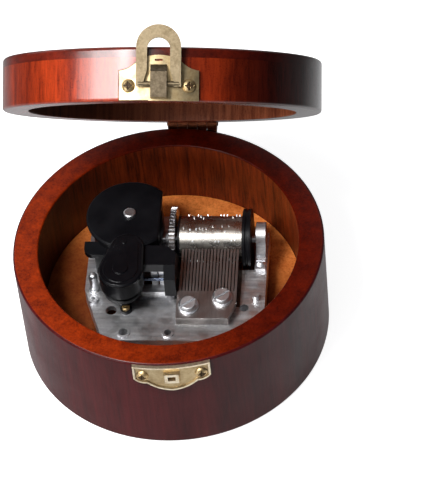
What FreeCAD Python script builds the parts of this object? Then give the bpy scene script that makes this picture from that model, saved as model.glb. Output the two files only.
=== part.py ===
"""Round wooden music box: a turned box and lid with a brass hinge, hasp and strike plate,
and a wind-up movement with a pinned cylinder and an eighteen-tooth comb.

Millimetres.  Origin: centre of the underside.  +Z up, -Y front (hasp), +Y back (hinge).
The lid is drawn open, turned about its hinge by lid_open_angle, with the loop flipped up.
"""
import FreeCAD, Part
import math
import os
import random

V = FreeCAD.Vector
X, Y, Z = V(1, 0, 0), V(0, 1, 0), V(0, 0, 1)

# ---- driving dimensions: box and lid -------------------------------------------------
box_radius = 43.0           # outside of the turned box and of the lid
box_wall = 7.0              # wall of the box above the floor board
box_height = 34.0           # height of the box without its lid
floor_level = 13.0          # top of the floor board above the underside
floor_thickness = 3.0
floor_ledge = 3.0           # width of the ledge that carries the floor board
floor_clearance = 0.15      # floor board in the wall
edge_round = 0.8            # rounded outer edges of the wood
lid_height = 14.0
lid_wall = 7.0
lid_cavity_depth = 9.0
lid_gap = 0.3               # between the closed lid and the rim
lid_open_angle = 50.8       # degrees the drawn lid is open
hardware_offset = 3.8       # hinge, hasp and strike stand this far to +X of the middle

# ---- hinge ---------------------------------------------------------------------------
hinge_width = 14.0
hinge_leaf_height = 9.0
hinge_leaf_thickness = 0.6
hinge_standoff = 1.3        # hinge axis behind the wood
hinge_pin_radius = 0.6
hinge_knuckle_radius = 1.2
hinge_knuckles = 5
hinge_running_fit = 0.05    # radial clearance of the pin in the upper leaf
hinge_seat_fit = 0.01       # radial clearance of the pin in the lower leaf
knuckle_side_gap = 0.1
hinge_screw_spacing = 8.0

# ---- small round-head wood screws ------------------------------------------------------
screw_head_radius = 1.75
screw_head_height = 1.1
screw_shank_radius = 0.7
screw_shank_length = 5.0
screw_tip_length = 1.0
screw_hole_fit = 0.05
screw_slot_width = 0.45
screw_slot_depth = 0.5

# ---- hasp on the lid -----------------------------------------------------------------
hasp_width = 20.6
hasp_side_height = 7.9
hasp_shoulder_height = 10.6
hasp_shoulder_half = 5.4
hasp_crown_height = 11.8
hasp_thickness = 0.8
hasp_screw_half_spacing = 7.6
hasp_screw_height = 3.9
hasp_pivot_height = 4.3     # loop pivot above the lid's lower edge
hasp_pivot_standoff = 1.8   # loop pivot in front of the wood
strap_width = 4.2
strap_bottom = 0.5
strap_top = 7.4
strap_end = 9.7             # where the strap's slope meets the plate again
strap_rise = 3.35           # outer face of the strap in front of the wood
strap_sheet = 0.7
strap_slot_width = 2.0
strap_slot_height = 0.5
loop_outer_width = 11.5
loop_inner_width = 5.9
loop_length = 15.2          # pivot to the outside of the crown
loop_crown_width = 3.4
loop_thickness = 1.0
loop_foot_inner_width = 8.0
loop_bar_radius = 0.7

# ---- strike plate on the box ------------------------------------------------------------
strike_width = 20.8
strike_top_gap = 0.3        # below the rim
strike_end_height = 6.2
strike_middle_height = 9.5
strike_thickness = 0.6
strike_border_width = 0.55
strike_border_rise = 0.4
strike_screw_half_spacing = 7.75
strike_screw_drop = 3.7
knob_width = 3.9
knob_height = 3.5
knob_rise = 2.4
knob_drop = 4.0             # knob centre below the top of the strike plate
knob_pocket = 0.9           # wall round the pocket in the knob

# ---- movement: bedplate ------------------------------------------------------------------
deck_height = 7.0           # deck top above the floor board
deck_thickness = 1.8
deck_left = -24.0
deck_right = 26.4
deck_front = -23.4
deck_back = 21.5
deck_left_front = -18.3     # where the slanted left edge ends
deck_left_break = -5.5      # y at which the left edge starts to slant
rail_thickness = 1.2
rail_depth = 4.0
boss_radius = 1.75
bed_screw_radius = 1.0
bed_screw_fit = 0.05
bed_screw_head_radius = 1.9
bed_screw_head_height = 1.2
bed_screw_head_room = 0.4   # round the heads, in the ledge of the box
bed_screw_length = 5.0      # under the head
bed_screw_mouth = 1.25      # radius of the open upper end of each boss
bed_screw_mouth_depth = 3.5
bed_screw_points = [(-12.0, -20.8), (20.8, -11.8), (-20.9, 18.6), (24.6, 13.2)]
deck_rim = 0.45             # height of the raised rims on the deck
deck_holes = [(-16.0, -12.9, 1.55), (0.3, -20.9, 1.0)]  # x, y, radius
rim_points = [(-12.0, -20.8, 1.85), (0.3, -20.9, 1.65)] # x, y, radius of a raised rim
small_boss = (-21.2, -9.6, 1.3, 1.0)                    # x, y, radius, height
small_boss_bore = 0.6
right_pin = (24.0, -8.7, 0.9, 2.0)                      # x, y, radius, height
strip_left, strip_right = -7.9, -0.95                   # raised strip in front of the opening
strip_front, strip_back = -7.1, -4.3
strip_height = 1.0
rib_lefts = [-5.1, -2.9]    # two upright ribs behind the strip
rib_width = 1.7
rib_depth = 0.9
rib_height = 7.0
opening_back = 0.8          # opening in the deck behind the ribs
opening_right = -2.3

# ---- movement: cylinder ---------------------------------------------------------------
axis_y = 11.0               # cylinder axis and winding arbor both lie in this plane
axis_height = 9.5           # cylinder axis above the floor board
drum_radius = 6.5
drum_wall = 0.6
drum_left = 2.1
drum_right = 19.6
pin_radius = 0.24
pin_rise = 0.42
pin_sink = 0.4
pins_per_track = 4
pin_seed = 18
shaft_radius = 1.0
bearing_fit = 0.05
flange_left_radius = 6.9
flange_left_width = 0.5
flange_right_radius = 8.6
flange_right_width = 2.4
collar_radius = 2.2
wheel_width = 1.6
wheel_left = -0.6
gear_module = 0.35
wheel_teeth = 50
bracket_left = 23.3
bracket_width = 2.7
bracket_radius = 3.6
bracket_above_axis = 1.9    # centre of the bracket's round head above the shaft
bracket_foot_height = 1.3
bracket_toe_height = 5.0
bracket_screw_y = 3.4
bracket_screw_radius = 0.8
flange_step = 0.3           # groove round the right end plate
post_left = -2.15
post_width = 1.15

# ---- movement: comb ---------------------------------------------------------------------
comb_teeth = 18
comb_pitch = 0.9
comb_slot = 0.28
comb_left = 2.9
comb_front = -18.12
comb_front_height = 3.2     # top of the comb's front edge above the deck
comb_tilt = 6.0
comb_base_length = 9.0
comb_base_left = 0.5        # the base reaches this far left of the first tooth
comb_length = 23.4
comb_thickness = 1.1
tooth_thickness = 0.8
comb_chamfer_x = 2.0
comb_chamfer_y = 4.7
comb_tip_clearance = 0.12   # comb tips outside the pins' circle
comb_screw_points = [(5.8, 4.0), (15.0, 6.6)]           # x, distance from the front edge
comb_screw_radius = 1.2
comb_screw_length = 4.5     # below the comb's top face
comb_head_radius = 2.65
comb_head_height = 1.5
comb_head_edge = 0.6        # sloped edge of the head
comb_driver_slot = 0.6      # width and depth of the screwdriver's slot
comb_driver_turn = 35.0
washer_radius = 2.9
washer_thickness = 0.35

# ---- movement: spring, barrel and winding --------------------------------------------------
arbor_x = -11.6
arbor_radius = 1.7
arbor_top = 34.0
case_radius = 12.2
case_wall = 0.9
case_top = 33.2
case_flat = 8.6             # flat side of the case from the arbor
case_lip = 1.2              # height of the wider top plate of the case
case_overhang = 1.5         # of the top plate over the wall
case_flat_overhang = 0.3
case_edge = 0.45
ear_left, ear_right = -24.2, -18.0                      # thin ear at the case's front left
ear_front, ear_back = 0.4, 5.3
ear_round = 2.6
ear_bottom, ear_top = 26.4, 28.0
ear_post_left, ear_post_right = -21.1, -17.6            # post that carries the ear
pinion_opening_half = 5.0
pinion_opening_above = 1.0
barrel_clearance = 0.3
barrel_radius = 9.0
barrel_wall = 0.6
barrel_bottom = 26.2
barrel_top = 31.8
barrel_hub_radius = 4.0
crown_module = 0.4
crown_teeth = 40
pinion_teeth = 14
crown_tooth_length = 1.8
crown_web = 1.2
well_clearance = 0.4
well_floor = 1.4
spring_turns = 5
spring_strip = 0.4
spring_rise = 0.9           # spring above the barrel's floor
spring_drop = 0.4           # spring below the barrel's edge
spring_core = 0.7           # core of the arbor outside its shaft
key_hub_radius = 2.8
key_hub_length = 6.0
key_wing_width = 22.0
key_wing_height = 6.6
key_wing_thickness = 1.5
key_clearance = 1.0         # underside of the key above the table

# ---- movement: governor --------------------------------------------------------------------
idler_teeth = 10
idler_angle = 8.0           # direction of the idler from the cylinder, degrees above level
governor_teeth = 22
governor_axis_height = 11.2     # governor arbor above the floor board
gear_play = 0.04            # added to each centre distance
worm_pitch_radius = 1.2
worm_wheel_teeth = 18
worm_lead = 1.225
worm_root_radius = 0.85
worm_thread_rise = 0.6
worm_length = 4.0
worm_wheel_width = 1.3
worm_wheel_addendum = 0.38
worm_wheel_dedendum = 0.62
worm_play = 0.05
spindle_x = -12.45
spindle_radius = 0.5
arbor2_radius = 0.5
fan_radius = 4.9
fan_hub_radius = 1.2
fan_blade_thickness = 0.45
fan_gap = 0.35
cup_radius = 6.1
cup_wall = 0.7
cup_floor = 28.4
cup_floor_thickness = 0.6
lower_ring_radius = 5.3
lower_ring_wall = 0.9
ring_groove = 0.4           # groove round the lower ring
ring_groove_low, ring_groove_high = 2.0, 1.1            # below the cup's floor
cone_bottom, cone_top = 1.5, 5.0                        # above the deck
governor_foot_radius = 1.9
governor_foot_bore = 1.2
governor_foot_height = 1.0
worm_room = 0.5             # beside the worm's wheel
worm_room_start = 0.7       # from the spindle
governor_screw_point = (-11.8, -12.9)
governor_screw_radius = 0.7
governor_tab_radius = 1.6
governor_bridge_half = 1.2
idler_axle_radius = 0.4
idler_post_width = 1.1
idler_post_gap = 0.45       # beside the toothed wheel
idler_post_half = 1.0
cheek_from_spindle = 4.2
cheek_width = 1.1
cheek_half = 1.6
web_width = 2.4
web_thickness = 1.2
cover_thickness = 1.0
cover_edge = 0.45
cover_overhang = 0.1
plateau_inset = 1.45        # raised middle of the cover, from the cover's outline
plateau_height = 0.3
cover_boss_radius = 2.05
cover_boss_height = 0.35
cover_pip_radius = 0.6
upper_lobe_radius = 4.7
upper_lobe_x = -11.4
upper_lobe_y = -1.6
arm_back = 0.1
arm_front = -6.9
arm_top = 32.5
arm_thickness = 1.2
arm_lip_height = 3.0
arm_lip_width = 1.0
arm_corner = 2.6            # cut corner at the arm's back right
hood_gap = 0.2              # between the hood and the governor's wheel
hood_wall = 0.7
hood_shoulder = 29.3        # height at which the hood turns towards the arm
hood_bottom = 23.0
end_wall_left = 1.25
end_wall_width = 0.95
end_wall_foot = -6.3        # front of the end wall's foot
stud_x, stud_y = -21.1, -5.8
stud_radius = 1.2
stud_collar = 0.4
stud_height = 6.2           # of the straight part above the deck

# ---- worked-out sizes ------------------------------------------------------------------------
box_bore = box_radius - box_wall
deck_top = floor_level + deck_height
deck_bottom = deck_top - deck_thickness
axis_z = floor_level + axis_height
lid_bottom = box_height + lid_gap
hinge_y = box_radius + hinge_standoff
hinge_z = box_height + lid_gap / 2
wheel_pitch_radius = gear_module * wheel_teeth / 2
idler_pitch_radius = gear_module * idler_teeth / 2
governor_pitch_radius = gear_module * governor_teeth / 2
worm_wheel_pitch_radius = worm_lead * worm_wheel_teeth / (2 * math.pi)
crown_pitch_radius = crown_module * crown_teeth / 2
pinion_pitch_radius = crown_module * pinion_teeth / 2
addendum = 0.8
dedendum = 1.1

idler_distance = wheel_pitch_radius + idler_pitch_radius + gear_play
idler_y = axis_y - idler_distance * math.cos(math.radians(idler_angle))
idler_z = axis_z + idler_distance * math.sin(math.radians(idler_angle))
governor_z = floor_level + governor_axis_height
governor_distance = idler_pitch_radius + governor_pitch_radius + gear_play
governor_y = idler_y - math.sqrt(governor_distance ** 2 - (governor_z - idler_z) ** 2)
spindle_y = governor_y - worm_wheel_pitch_radius - worm_pitch_radius - worm_play
worm_bottom = governor_z - worm_length / 2
cheek_left = spindle_x - cheek_from_spindle
idler_post_left = wheel_left - idler_post_gap - idler_post_width
bracket_screw_point = (bracket_left + bracket_width / 2, bracket_screw_y)
spring_bottom = barrel_bottom + spring_rise
spring_top = barrel_top - spring_drop
spring_core_radius = arbor_radius + spring_core


# ---- helpers -----------------------------------------------------------------------------------
def rod(radius, start, end):
    """Cylinder between two points."""
    way = end - start
    return Part.makeCylinder(radius, way.Length, start, way)


def block(x0, x1, y0, y1, z0, z1):
    """Box between two corners."""
    return Part.makeBox(x1 - x0, y1 - y0, z1 - z0, V(x0, y0, z0))


def polygon(points):
    """Flat face through the points."""
    return Part.Face(Part.makePolygon(list(points) + [points[0]]))


def turned(profile, centre=V(0, 0, 0), axis=Z):
    """Solid of revolution of an (r, height) profile about an axis through centre."""
    face = polygon([V(r, 0, h) for r, h in profile])
    solid = face.revolve(V(0, 0, 0), Z, 360)
    solid.Placement = FreeCAD.Placement(centre, FreeCAD.Rotation(Z, axis))
    return solid


def disc(radius, bottom, top, x=0.0, y=0.0, bore=0.0):
    """Upright disc or ring."""
    solid = rod(radius, V(x, y, bottom), V(x, y, top))
    if bore > 0:
        solid = solid.cut(rod(bore, V(x, y, bottom - 1), V(x, y, top + 1)))
    return solid


def roller(radius, left, right, y, z, bore=0.0):
    """Disc or ring whose axis lies along X."""
    solid = rod(radius, V(left, y, z), V(right, y, z))
    if bore > 0:
        solid = solid.cut(rod(bore, V(left - 1, y, z), V(right + 1, y, z)))
    return solid


def outline(edges):
    """Flat face from edges given as tuples: 2 points for a line, 3 for an arc."""
    made = []
    for edge in edges:
        if len(edge) == 2:
            made.append(Part.makeLine(*edge))
        else:
            made.append(Part.Arc(*edge).toShape())
    return Part.Face(Part.Wire(made))


def gear_face(teeth, module, bore, thinning=0.8, phase=0.0, play=1.0):
    """Spur gear outline in the XY plane with straight-sided teeth and a bore."""
    pitch = module * teeth / 2
    tip, root = pitch + addendum * module * play, pitch - dedendum * module
    half = thinning * math.pi / (2 * teeth)
    points = []
    for tooth in range(teeth):
        middle = phase + 2 * math.pi * tooth / teeth
        for radius, share in ((root, -1.5), (tip, -0.55), (tip, 0.55), (root, 1.5)):
            angle = middle + share * half
            points.append(V(radius * math.cos(angle), radius * math.sin(angle), 0))
    face = polygon(points)
    if bore > 0:
        face = face.cut(Part.Face(Part.Wire(Part.makeCircle(bore))))
    return face


def spur_gear(teeth, module, left, width, y, z, bore, phase=0.0):
    """Spur gear on an axis along X; phase 0 puts a tooth towards +Y."""
    solid = gear_face(teeth, module, bore, phase=phase).extrude(V(0, 0, width))
    # local X, Y, Z of the outline become +Y, +Z and +X
    solid.Placement = FreeCAD.Placement(V(left, y, z), FreeCAD.Rotation(Y, Z, X, "XYZ"))
    return solid


def on_front(shape, x=hardware_offset):
    """Turn a shape that is modelled at the middle of the front to the place x on the wall."""
    shape.rotate(V(0, 0, 0), Z, math.degrees(math.asin(x / box_radius)))
    return shape


def on_back(shape, x):
    """Turn a shape that is modelled at the middle of the front to the place x on the back."""
    shape.rotate(V(0, 0, 0), Z, 180 - math.degrees(math.asin(x / box_radius)))
    return shape


def opened(shape):
    """Swing a shape of the closed lid to the drawn, open place."""
    shape.rotate(V(0, hinge_y, hinge_z), X, -lid_open_angle)
    return shape


def wall_shell(start, end, bottom, top):
    """Part of a thin shell that lies on the outside of the box."""
    return disc(box_radius + end, bottom, top, bore=box_radius + start)


def wood_screw(x, z, seat):
    """Round-head screw at the front of the wall, head seated at the given standoff."""
    y = -box_radius - seat
    profile = [
        (0, screw_head_height), (screw_head_radius * 0.5, screw_head_height * 0.87),
        (screw_head_radius * 0.87, screw_head_height * 0.5), (screw_head_radius, 0),
        (screw_shank_radius, 0), (screw_shank_radius, -screw_shank_length),
        (0.1, -screw_shank_length - screw_tip_length), (0, -screw_shank_length - screw_tip_length),
    ]
    screw = turned(profile, V(0, y, z), -Y)
    slot_y = y - screw_head_height - 1
    for wide, tall in ((screw_head_radius * 1.3, screw_slot_width),
                       (screw_slot_width, screw_head_radius * 1.3)):
        slot = block(-wide / 2, wide / 2, slot_y, slot_y + 1 + screw_slot_depth,
                     z - tall / 2, z + tall / 2)
        screw = screw.cut(slot)
    screw.rotate(V(0, 0, 0), Z, math.degrees(math.asin(x / box_radius)))
    return screw


def screw_hole(x, z):
    """Hole for a wood screw, from outside the hardware to the screw's tip."""
    start = V(0, -box_radius - 6, z)
    end = V(0, -box_radius + screw_shank_length + 0.4, z)
    hole = rod(screw_shank_radius + screw_hole_fit, start, end)
    hole.rotate(V(0, 0, 0), Z, math.degrees(math.asin(x / box_radius)))
    return hole


# ---- wooden box and lid --------------------------------------------------------------------------
def rounded_cup_profile(outer, inner, low, high, size):
    """Corners of a wall section whose outer edges are rounded off by size."""
    steps = 3
    points = []
    for centre_z, first in ((low + size, -90), (high - size, 0)):
        for step in range(steps + 1):
            angle = math.radians(first + 90 * step / steps)
            points.append((outer - size + size * math.cos(angle), centre_z + size * math.sin(angle)))
    return points + [(inner, high), (inner, low)]


hinge_screw_xs = [hardware_offset - hinge_screw_spacing / 2, hardware_offset + hinge_screw_spacing / 2]
leaf_edge = hinge_knuckle_radius + 0.1          # leaves start this far above and below the axis
lower_leaf_z = hinge_z - leaf_edge - hinge_leaf_height / 2
upper_leaf_z = hinge_z + leaf_edge + hinge_leaf_height / 2
strike_top = box_height - strike_top_gap
strike_screw_z = strike_top - strike_screw_drop
hasp_screw_z = lid_bottom + hasp_screw_height
hasp_pivot_z = lid_bottom + hasp_pivot_height


def box_ring():
    """Turned wall with a ledge for the floor board and a recess for the key below it."""
    ledge_z = floor_level - floor_thickness
    ring = turned(rounded_cup_profile(box_radius, box_bore, 0, box_height, edge_round))
    ledge = disc(box_bore + 0.5, 0, ledge_z, bore=box_bore - floor_ledge)
    ring = ring.fuse(ledge).removeSplitter()
    for side in (-1, 1):
        hole = on_front(screw_hole(side * strike_screw_half_spacing, strike_screw_z))
        ring = ring.cut(hole)
    for x in hinge_screw_xs:
        ring = ring.cut(on_back(screw_hole(0, lower_leaf_z), x))
    for x, y in bed_screw_points:
        ring = ring.cut(disc(bed_screw_head_radius + bed_screw_head_room, -1, ledge_z, x, y))
    return ring


def floor_board():
    """Disc that closes the box; the movement is screwed to it from below."""
    board = disc(box_bore - floor_clearance, floor_level - floor_thickness, floor_level)
    for x, y in bed_screw_points:
        board = board.cut(disc(bed_screw_radius + 0.1, 0, box_height, x, y))
    return board.cut(disc(arbor_radius + 0.7, 0, box_height, arbor_x, axis_y))


def lid_shell():
    """Turned lid, hollow below."""
    top = lid_bottom + lid_height
    profile = rounded_cup_profile(box_radius, 0, lid_bottom, top, edge_round)
    lid = turned(profile)
    cavity_top = lid_bottom + lid_cavity_depth
    lid = lid.cut(disc(box_radius - lid_wall, lid_bottom - 1, cavity_top))
    for side in (-1, 1):
        lid = lid.cut(on_front(screw_hole(side * hasp_screw_half_spacing, hasp_screw_z)))
    for x in hinge_screw_xs:
        lid = lid.cut(on_back(screw_hole(0, upper_leaf_z), x))
    return opened(lid)


# ---- hinge ------------------------------------------------------------------------------------------
def hinge_leaf(side, mine, fit):
    """One leaf bent to the wall: side -1 is the box's, +1 the lid's; mine lists its knuckles."""
    left = hardware_offset - hinge_width / 2
    right = hardware_offset + hinge_width / 2
    start = hinge_z + side * leaf_edge
    end = start + side * hinge_leaf_height
    low, high = min(start, end), max(start, end)
    shell = wall_shell(0, hinge_leaf_thickness, low, high)
    plate = shell.common(block(left, right, 0, hinge_y + 5, low, high))
    wood = disc(box_radius, low - hinge_leaf_height, high + hinge_leaf_height)
    pieces = []
    pitch = hinge_width / hinge_knuckles
    for index in mine:
        x0 = left + index * pitch + (knuckle_side_gap / 2 if index else 0)
        last = index == hinge_knuckles - 1
        x1 = left + (index + 1) * pitch - (0 if last else knuckle_side_gap / 2)
        knuckle = roller(hinge_knuckle_radius, x0, x1, hinge_y, hinge_z)
        neck_low, neck_high = sorted((hinge_z + side * 0.1, start + side * 0.2))
        neck = block(x0, x1, box_radius - 3, hinge_y - 0.3, neck_low, neck_high)
        pieces += [knuckle, neck.cut(wood)]
    leaf = plate.fuse(pieces)
    leaf = leaf.cut(roller(hinge_pin_radius + fit, left - 1, right + 1, hinge_y, hinge_z))
    for x in hinge_screw_xs:
        leaf = leaf.cut(on_back(screw_hole(0, (low + high) / 2), x))
    return leaf.removeSplitter()


def hinge_pin():
    """Pin through all the knuckles."""
    half = hinge_width / 2 + 0.3
    return roller(hinge_pin_radius, hardware_offset - half, hardware_offset + half, hinge_y, hinge_z)


def hinge_screws(z):
    """The two screws of one hinge leaf."""
    screws = [on_back(wood_screw(0, z, hinge_leaf_thickness), x) for x in hinge_screw_xs]
    return Part.makeCompound(screws)


# ---- hasp and strike plate ------------------------------------------------------------------------------
def bent_plate(face, start, end, bottom, top):
    """Sheet with the given outline (in X, Z) bent round the front of the wall."""
    prism = face.extrude(V(0, -2 * box_radius, 0))
    return prism.common(wall_shell(start, end, bottom, top))


def mirrored_outline(right_half):
    """Closed outline from edges on the right, mirrored to the left; they run bottom to top."""
    def flip(point):
        return V(-point.x, point.y, point.z)
    left = [tuple(flip(p) for p in reversed(edge)) for edge in reversed(right_half)]
    return outline(right_half + left)


def hasp_plate():
    """Plate on the lid with the raised strap that holds the loop's bar."""
    half = hasp_width / 2
    low = lid_bottom + 0.05
    side = lid_bottom + hasp_side_height
    shoulder = lid_bottom + hasp_shoulder_height
    crown = lid_bottom + hasp_crown_height
    ogee = V((half + hasp_shoulder_half) / 2 - 0.4, 0, (side + shoulder) / 2 - 0.45)
    face = mirrored_outline([
        (V(0, 0, low), V(half, 0, low)),
        (V(half, 0, low), V(half, 0, side)),
        (V(half, 0, side), ogee, V(hasp_shoulder_half, 0, shoulder)),
        (V(hasp_shoulder_half, 0, shoulder), V(hasp_shoulder_half / 2, 0, crown - 0.3), V(0, 0, crown)),
    ])
    plate = bent_plate(face, 0, hasp_thickness, low - 1, crown + 1)
    slot_z = lid_bottom + (strap_end + hasp_crown_height) / 2 - 0.5
    plate = plate.cut(block(-strap_slot_width / 2, strap_slot_width / 2, -box_radius - 2, -box_radius + 2,
                            slot_z, slot_z + strap_slot_height))
    front, back = -box_radius - strap_rise, -box_radius - 0.3
    inner = front + strap_sheet
    profile = [
        (back, strap_bottom), (front, strap_bottom + 0.4), (front, strap_top), (back, strap_end),
        (back, strap_top + 1.0), (inner, strap_top - strap_sheet), (inner, strap_bottom + 1.2),
        (back, strap_bottom + 0.9),
    ]
    strap = polygon([V(-strap_width / 2, y, lid_bottom + z) for y, z in profile])
    strap = strap.extrude(V(strap_width, 0, 0)).cut(disc(box_radius, low - 1, crown + 1))
    plate = plate.fuse(strap)
    for side_sign in (-1, 1):
        plate = plate.cut(screw_hole(side_sign * hasp_screw_half_spacing, hasp_screw_z))
    return opened(on_front(plate.removeSplitter()))


def hasp_loop():
    """Flat loop on a round bar, flipped up against the lid."""
    y = -box_radius - hasp_pivot_standoff
    outer, inner = loop_outer_width / 2, loop_inner_width / 2
    foot = loop_foot_inner_width / 2
    base = hasp_pivot_z - loop_bar_radius
    crown = hasp_pivot_z + loop_length
    window = crown - loop_crown_width
    shoulder = crown - outer
    inner_shoulder = window - inner
    back = y + loop_thickness / 2

    def p(x, z):
        return V(x, back, z)

    body = outline([
        (p(-outer, base), p(outer, base)),
        (p(outer, base), p(outer, shoulder)),
        (p(outer, shoulder), p(0, crown), p(-outer, shoulder)),
        (p(-outer, shoulder), p(-outer, base)),
    ])
    hole = outline([
        (p(-foot, base - 1), p(foot, base - 1)),
        (p(foot, base - 1), p(foot, hasp_pivot_z)),
        (p(foot, hasp_pivot_z), p(inner, hasp_pivot_z + 3.6)),
        (p(inner, hasp_pivot_z + 3.6), p(inner, inner_shoulder)),
        (p(inner, inner_shoulder), p(0, window), p(-inner, inner_shoulder)),
        (p(-inner, inner_shoulder), p(-inner, hasp_pivot_z + 3.6)),
        (p(-inner, hasp_pivot_z + 3.6), p(-foot, hasp_pivot_z)),
        (p(-foot, hasp_pivot_z), p(-foot, base - 1)),
    ])
    loop = body.extrude(V(0, -loop_thickness, 0)).cut(hole.extrude(V(0, -loop_thickness, 0)))
    bar = rod(loop_bar_radius, V(-outer + 0.5, y, hasp_pivot_z), V(outer - 0.5, y, hasp_pivot_z))
    return opened(on_front(loop.fuse(bar)))


def hasp_screws():
    """The two screws of the hasp plate."""
    screws = [wood_screw(side * hasp_screw_half_spacing, hasp_screw_z, hasp_thickness) for side in (-1, 1)]
    return opened(on_front(Part.makeCompound(screws)))


def strike_plate():
    """Plate on the box with a raised border and the hollow knob that the loop drops over."""
    half = strike_width / 2
    top = strike_top
    end = top - strike_end_height
    middle = top - strike_middle_height
    lobe = half - 3.6
    face = mirrored_outline([
        (V(0, 0, middle), V(lobe * 0.55, 0, middle + 0.95), V(lobe, 0, end - 0.3)),
        (V(lobe, 0, end - 0.3), V(half - 1.5, 0, end - 0.15), V(half, 0, end + 1.0)),
        (V(half, 0, end + 1.0), V(half, 0, top)),
        (V(half, 0, top), V(0, 0, top)),
    ])
    plate = bent_plate(face, 0, strike_thickness, middle - 1, top + 1)
    inside = face.makeOffset2D(-strike_border_width)
    border = face.cut(inside)
    rim = bent_plate(border, strike_thickness - 0.1, strike_thickness + strike_border_rise,
                     middle - 1, top + 1)
    knob_z = top - knob_drop
    start, front = -box_radius + 0.4, -box_radius - strike_thickness - knob_rise
    sections = []
    for y, grow in ((start, 0.35), (front, 0.0)):
        w, h = knob_width / 2 + grow, knob_height / 2 + grow
        corners = [V(-w, y, knob_z - h), V(w, y, knob_z - h), V(w, y, knob_z + h), V(-w, y, knob_z + h)]
        sections.append(Part.makePolygon(corners + [corners[0]]))
    knob = Part.makeLoft(sections, True)
    w, h = knob_width / 2 - knob_pocket, knob_height / 2 - knob_pocket
    knob = knob.cut(block(-w, w, front - 1, front + knob_rise * 0.6, knob_z - h, knob_z + h))
    knob = knob.cut(disc(box_radius, 0, box_height))
    plate = plate.fuse([rim, knob]).removeSplitter()
    for side in (-1, 1):
        plate = plate.cut(screw_hole(side * strike_screw_half_spacing, strike_screw_z))
    return on_front(plate)


def strike_screws():
    """The two screws of the strike plate."""
    screws = [wood_screw(side * strike_screw_half_spacing, strike_screw_z, strike_thickness)
              for side in (-1, 1)]
    return on_front(Part.makeCompound(screws))


# ---- bedplate ----------------------------------------------------------------------------------------
window_left = wheel_left - 0.35
window_right = bracket_left - 0.4
window_front = axis_y - wheel_pitch_radius - 0.4
well_radius = crown_pitch_radius + crown_tooth_length / 2 + well_clearance
crown_tip = axis_z - pinion_pitch_radius + addendum * crown_module * 0.8
crown_root = axis_z - pinion_pitch_radius - dedendum * crown_module
crown_bottom = crown_root - crown_web


def bedplate():
    """Cast plate that carries the whole movement, on four bosses that stand on the floor."""
    points = [
        (deck_left, deck_left_break), (deck_left_front, deck_front + 1.8),
        (deck_left_front + 1.7, deck_front), (deck_right - 2.4, deck_front),
        (deck_right, deck_front + 2.4), (deck_right, axis_y + 4.6), (window_right, axis_y + 4.6),
        (window_right, window_front), (window_left, window_front), (window_left, deck_back),
        (deck_left + 4.5, deck_back), (deck_left, deck_back - 4.5),
    ]
    deck = polygon([V(x, y, deck_bottom) for x, y in points]).extrude(V(0, 0, deck_thickness))
    rails = []
    for start, end in zip(points[:6], points[1:6]):
        rails.append(rail(start, end))
    pad_low, pad_high = comb_pad_heights()
    pad_left, pad_front = comb_left - comb_base_left, comb_front + 0.3
    pad_back = comb_front + comb_base_length - 0.4
    pad = polygon([
        V(pad_left, pad_front, deck_bottom), V(pad_left, pad_front, pad_low),
        V(pad_left, pad_back, pad_high), V(pad_left, pad_back, deck_bottom),
    ]).extrude(V(comb_span() + comb_base_left - comb_chamfer_x, 0, 0))
    well = disc(well_radius + 1.2, crown_bottom - well_clearance - well_floor, deck_bottom + 0.5,
                arbor_x, axis_y)
    post = block(post_left, post_left + post_width, axis_y - 2.6, axis_y + 2.6, deck_bottom, axis_z)
    post = post.fuse(roller(2.6, post_left, post_left + post_width, axis_y, axis_z))
    bosses = [disc(boss_radius, floor_level, deck_top, x, y) for x, y in bed_screw_points]
    for x, y, radius in rim_points:
        bosses.append(disc(radius, deck_top - 0.1, deck_top + deck_rim, x, y))
    for x, y, radius, height in (small_boss, right_pin):
        bosses.append(disc(radius, deck_top - 0.1, deck_top + height, x, y))
    strip = block(strip_left, strip_right, strip_front, strip_back, deck_bottom, deck_top + strip_height)
    ribs_back, ribs_top = strip_back + rib_depth, deck_top + rib_height
    ribs = [block(x, x + rib_width, strip_back - 0.1, ribs_back, deck_bottom, ribs_top) for x in rib_lefts]
    plate = deck.fuse(rails + [pad, well])
    well_bottom = crown_bottom - well_clearance
    plate = plate.cut(disc(well_radius, well_bottom, deck_top + 1, arbor_x, axis_y))
    plate = plate.cut(block(window_left, window_right, window_front, deck_back + 5, 0, deck_top + 1))
    plate = plate.cut(block(strip_left, opening_right, ribs_back, opening_back, 0, deck_top + 1))
    plate = plate.fuse([post, strip] + ribs + bosses)
    plate = plate.cut(disc(arbor_radius + bearing_fit, 0, deck_top, arbor_x, axis_y))
    plate = plate.cut(roller(shaft_radius + bearing_fit, post_left - 1, window_left, axis_y, axis_z))
    for x, y in bed_screw_points:
        plate = plate.cut(disc(bed_screw_radius + bed_screw_fit, 0, box_height, x, y))
        plate = plate.cut(disc(bed_screw_mouth, deck_top - bed_screw_mouth_depth, box_height, x, y))
    x, y, _, height = small_boss
    plate = plate.cut(disc(small_boss_bore, deck_top - 0.5, deck_top + height + 1, x, y))
    for x, y, radius in deck_holes:
        plate = plate.cut(disc(radius, 0, box_height, x, y))
    for x, distance in comb_screw_points:
        plate = plate.cut(comb_placed(disc(comb_screw_radius + 0.05, -8, 0, x, distance)))
    plate = plate.cut(disc(stud_radius * 0.7, 0, box_height, stud_x, stud_y))
    plate = plate.cut(disc(governor_screw_radius + screw_hole_fit, 0, box_height, *governor_screw_point))
    plate = plate.cut(disc(bracket_screw_radius + screw_hole_fit, 0, box_height, *bracket_screw_point))
    return plate.removeSplitter()


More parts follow.
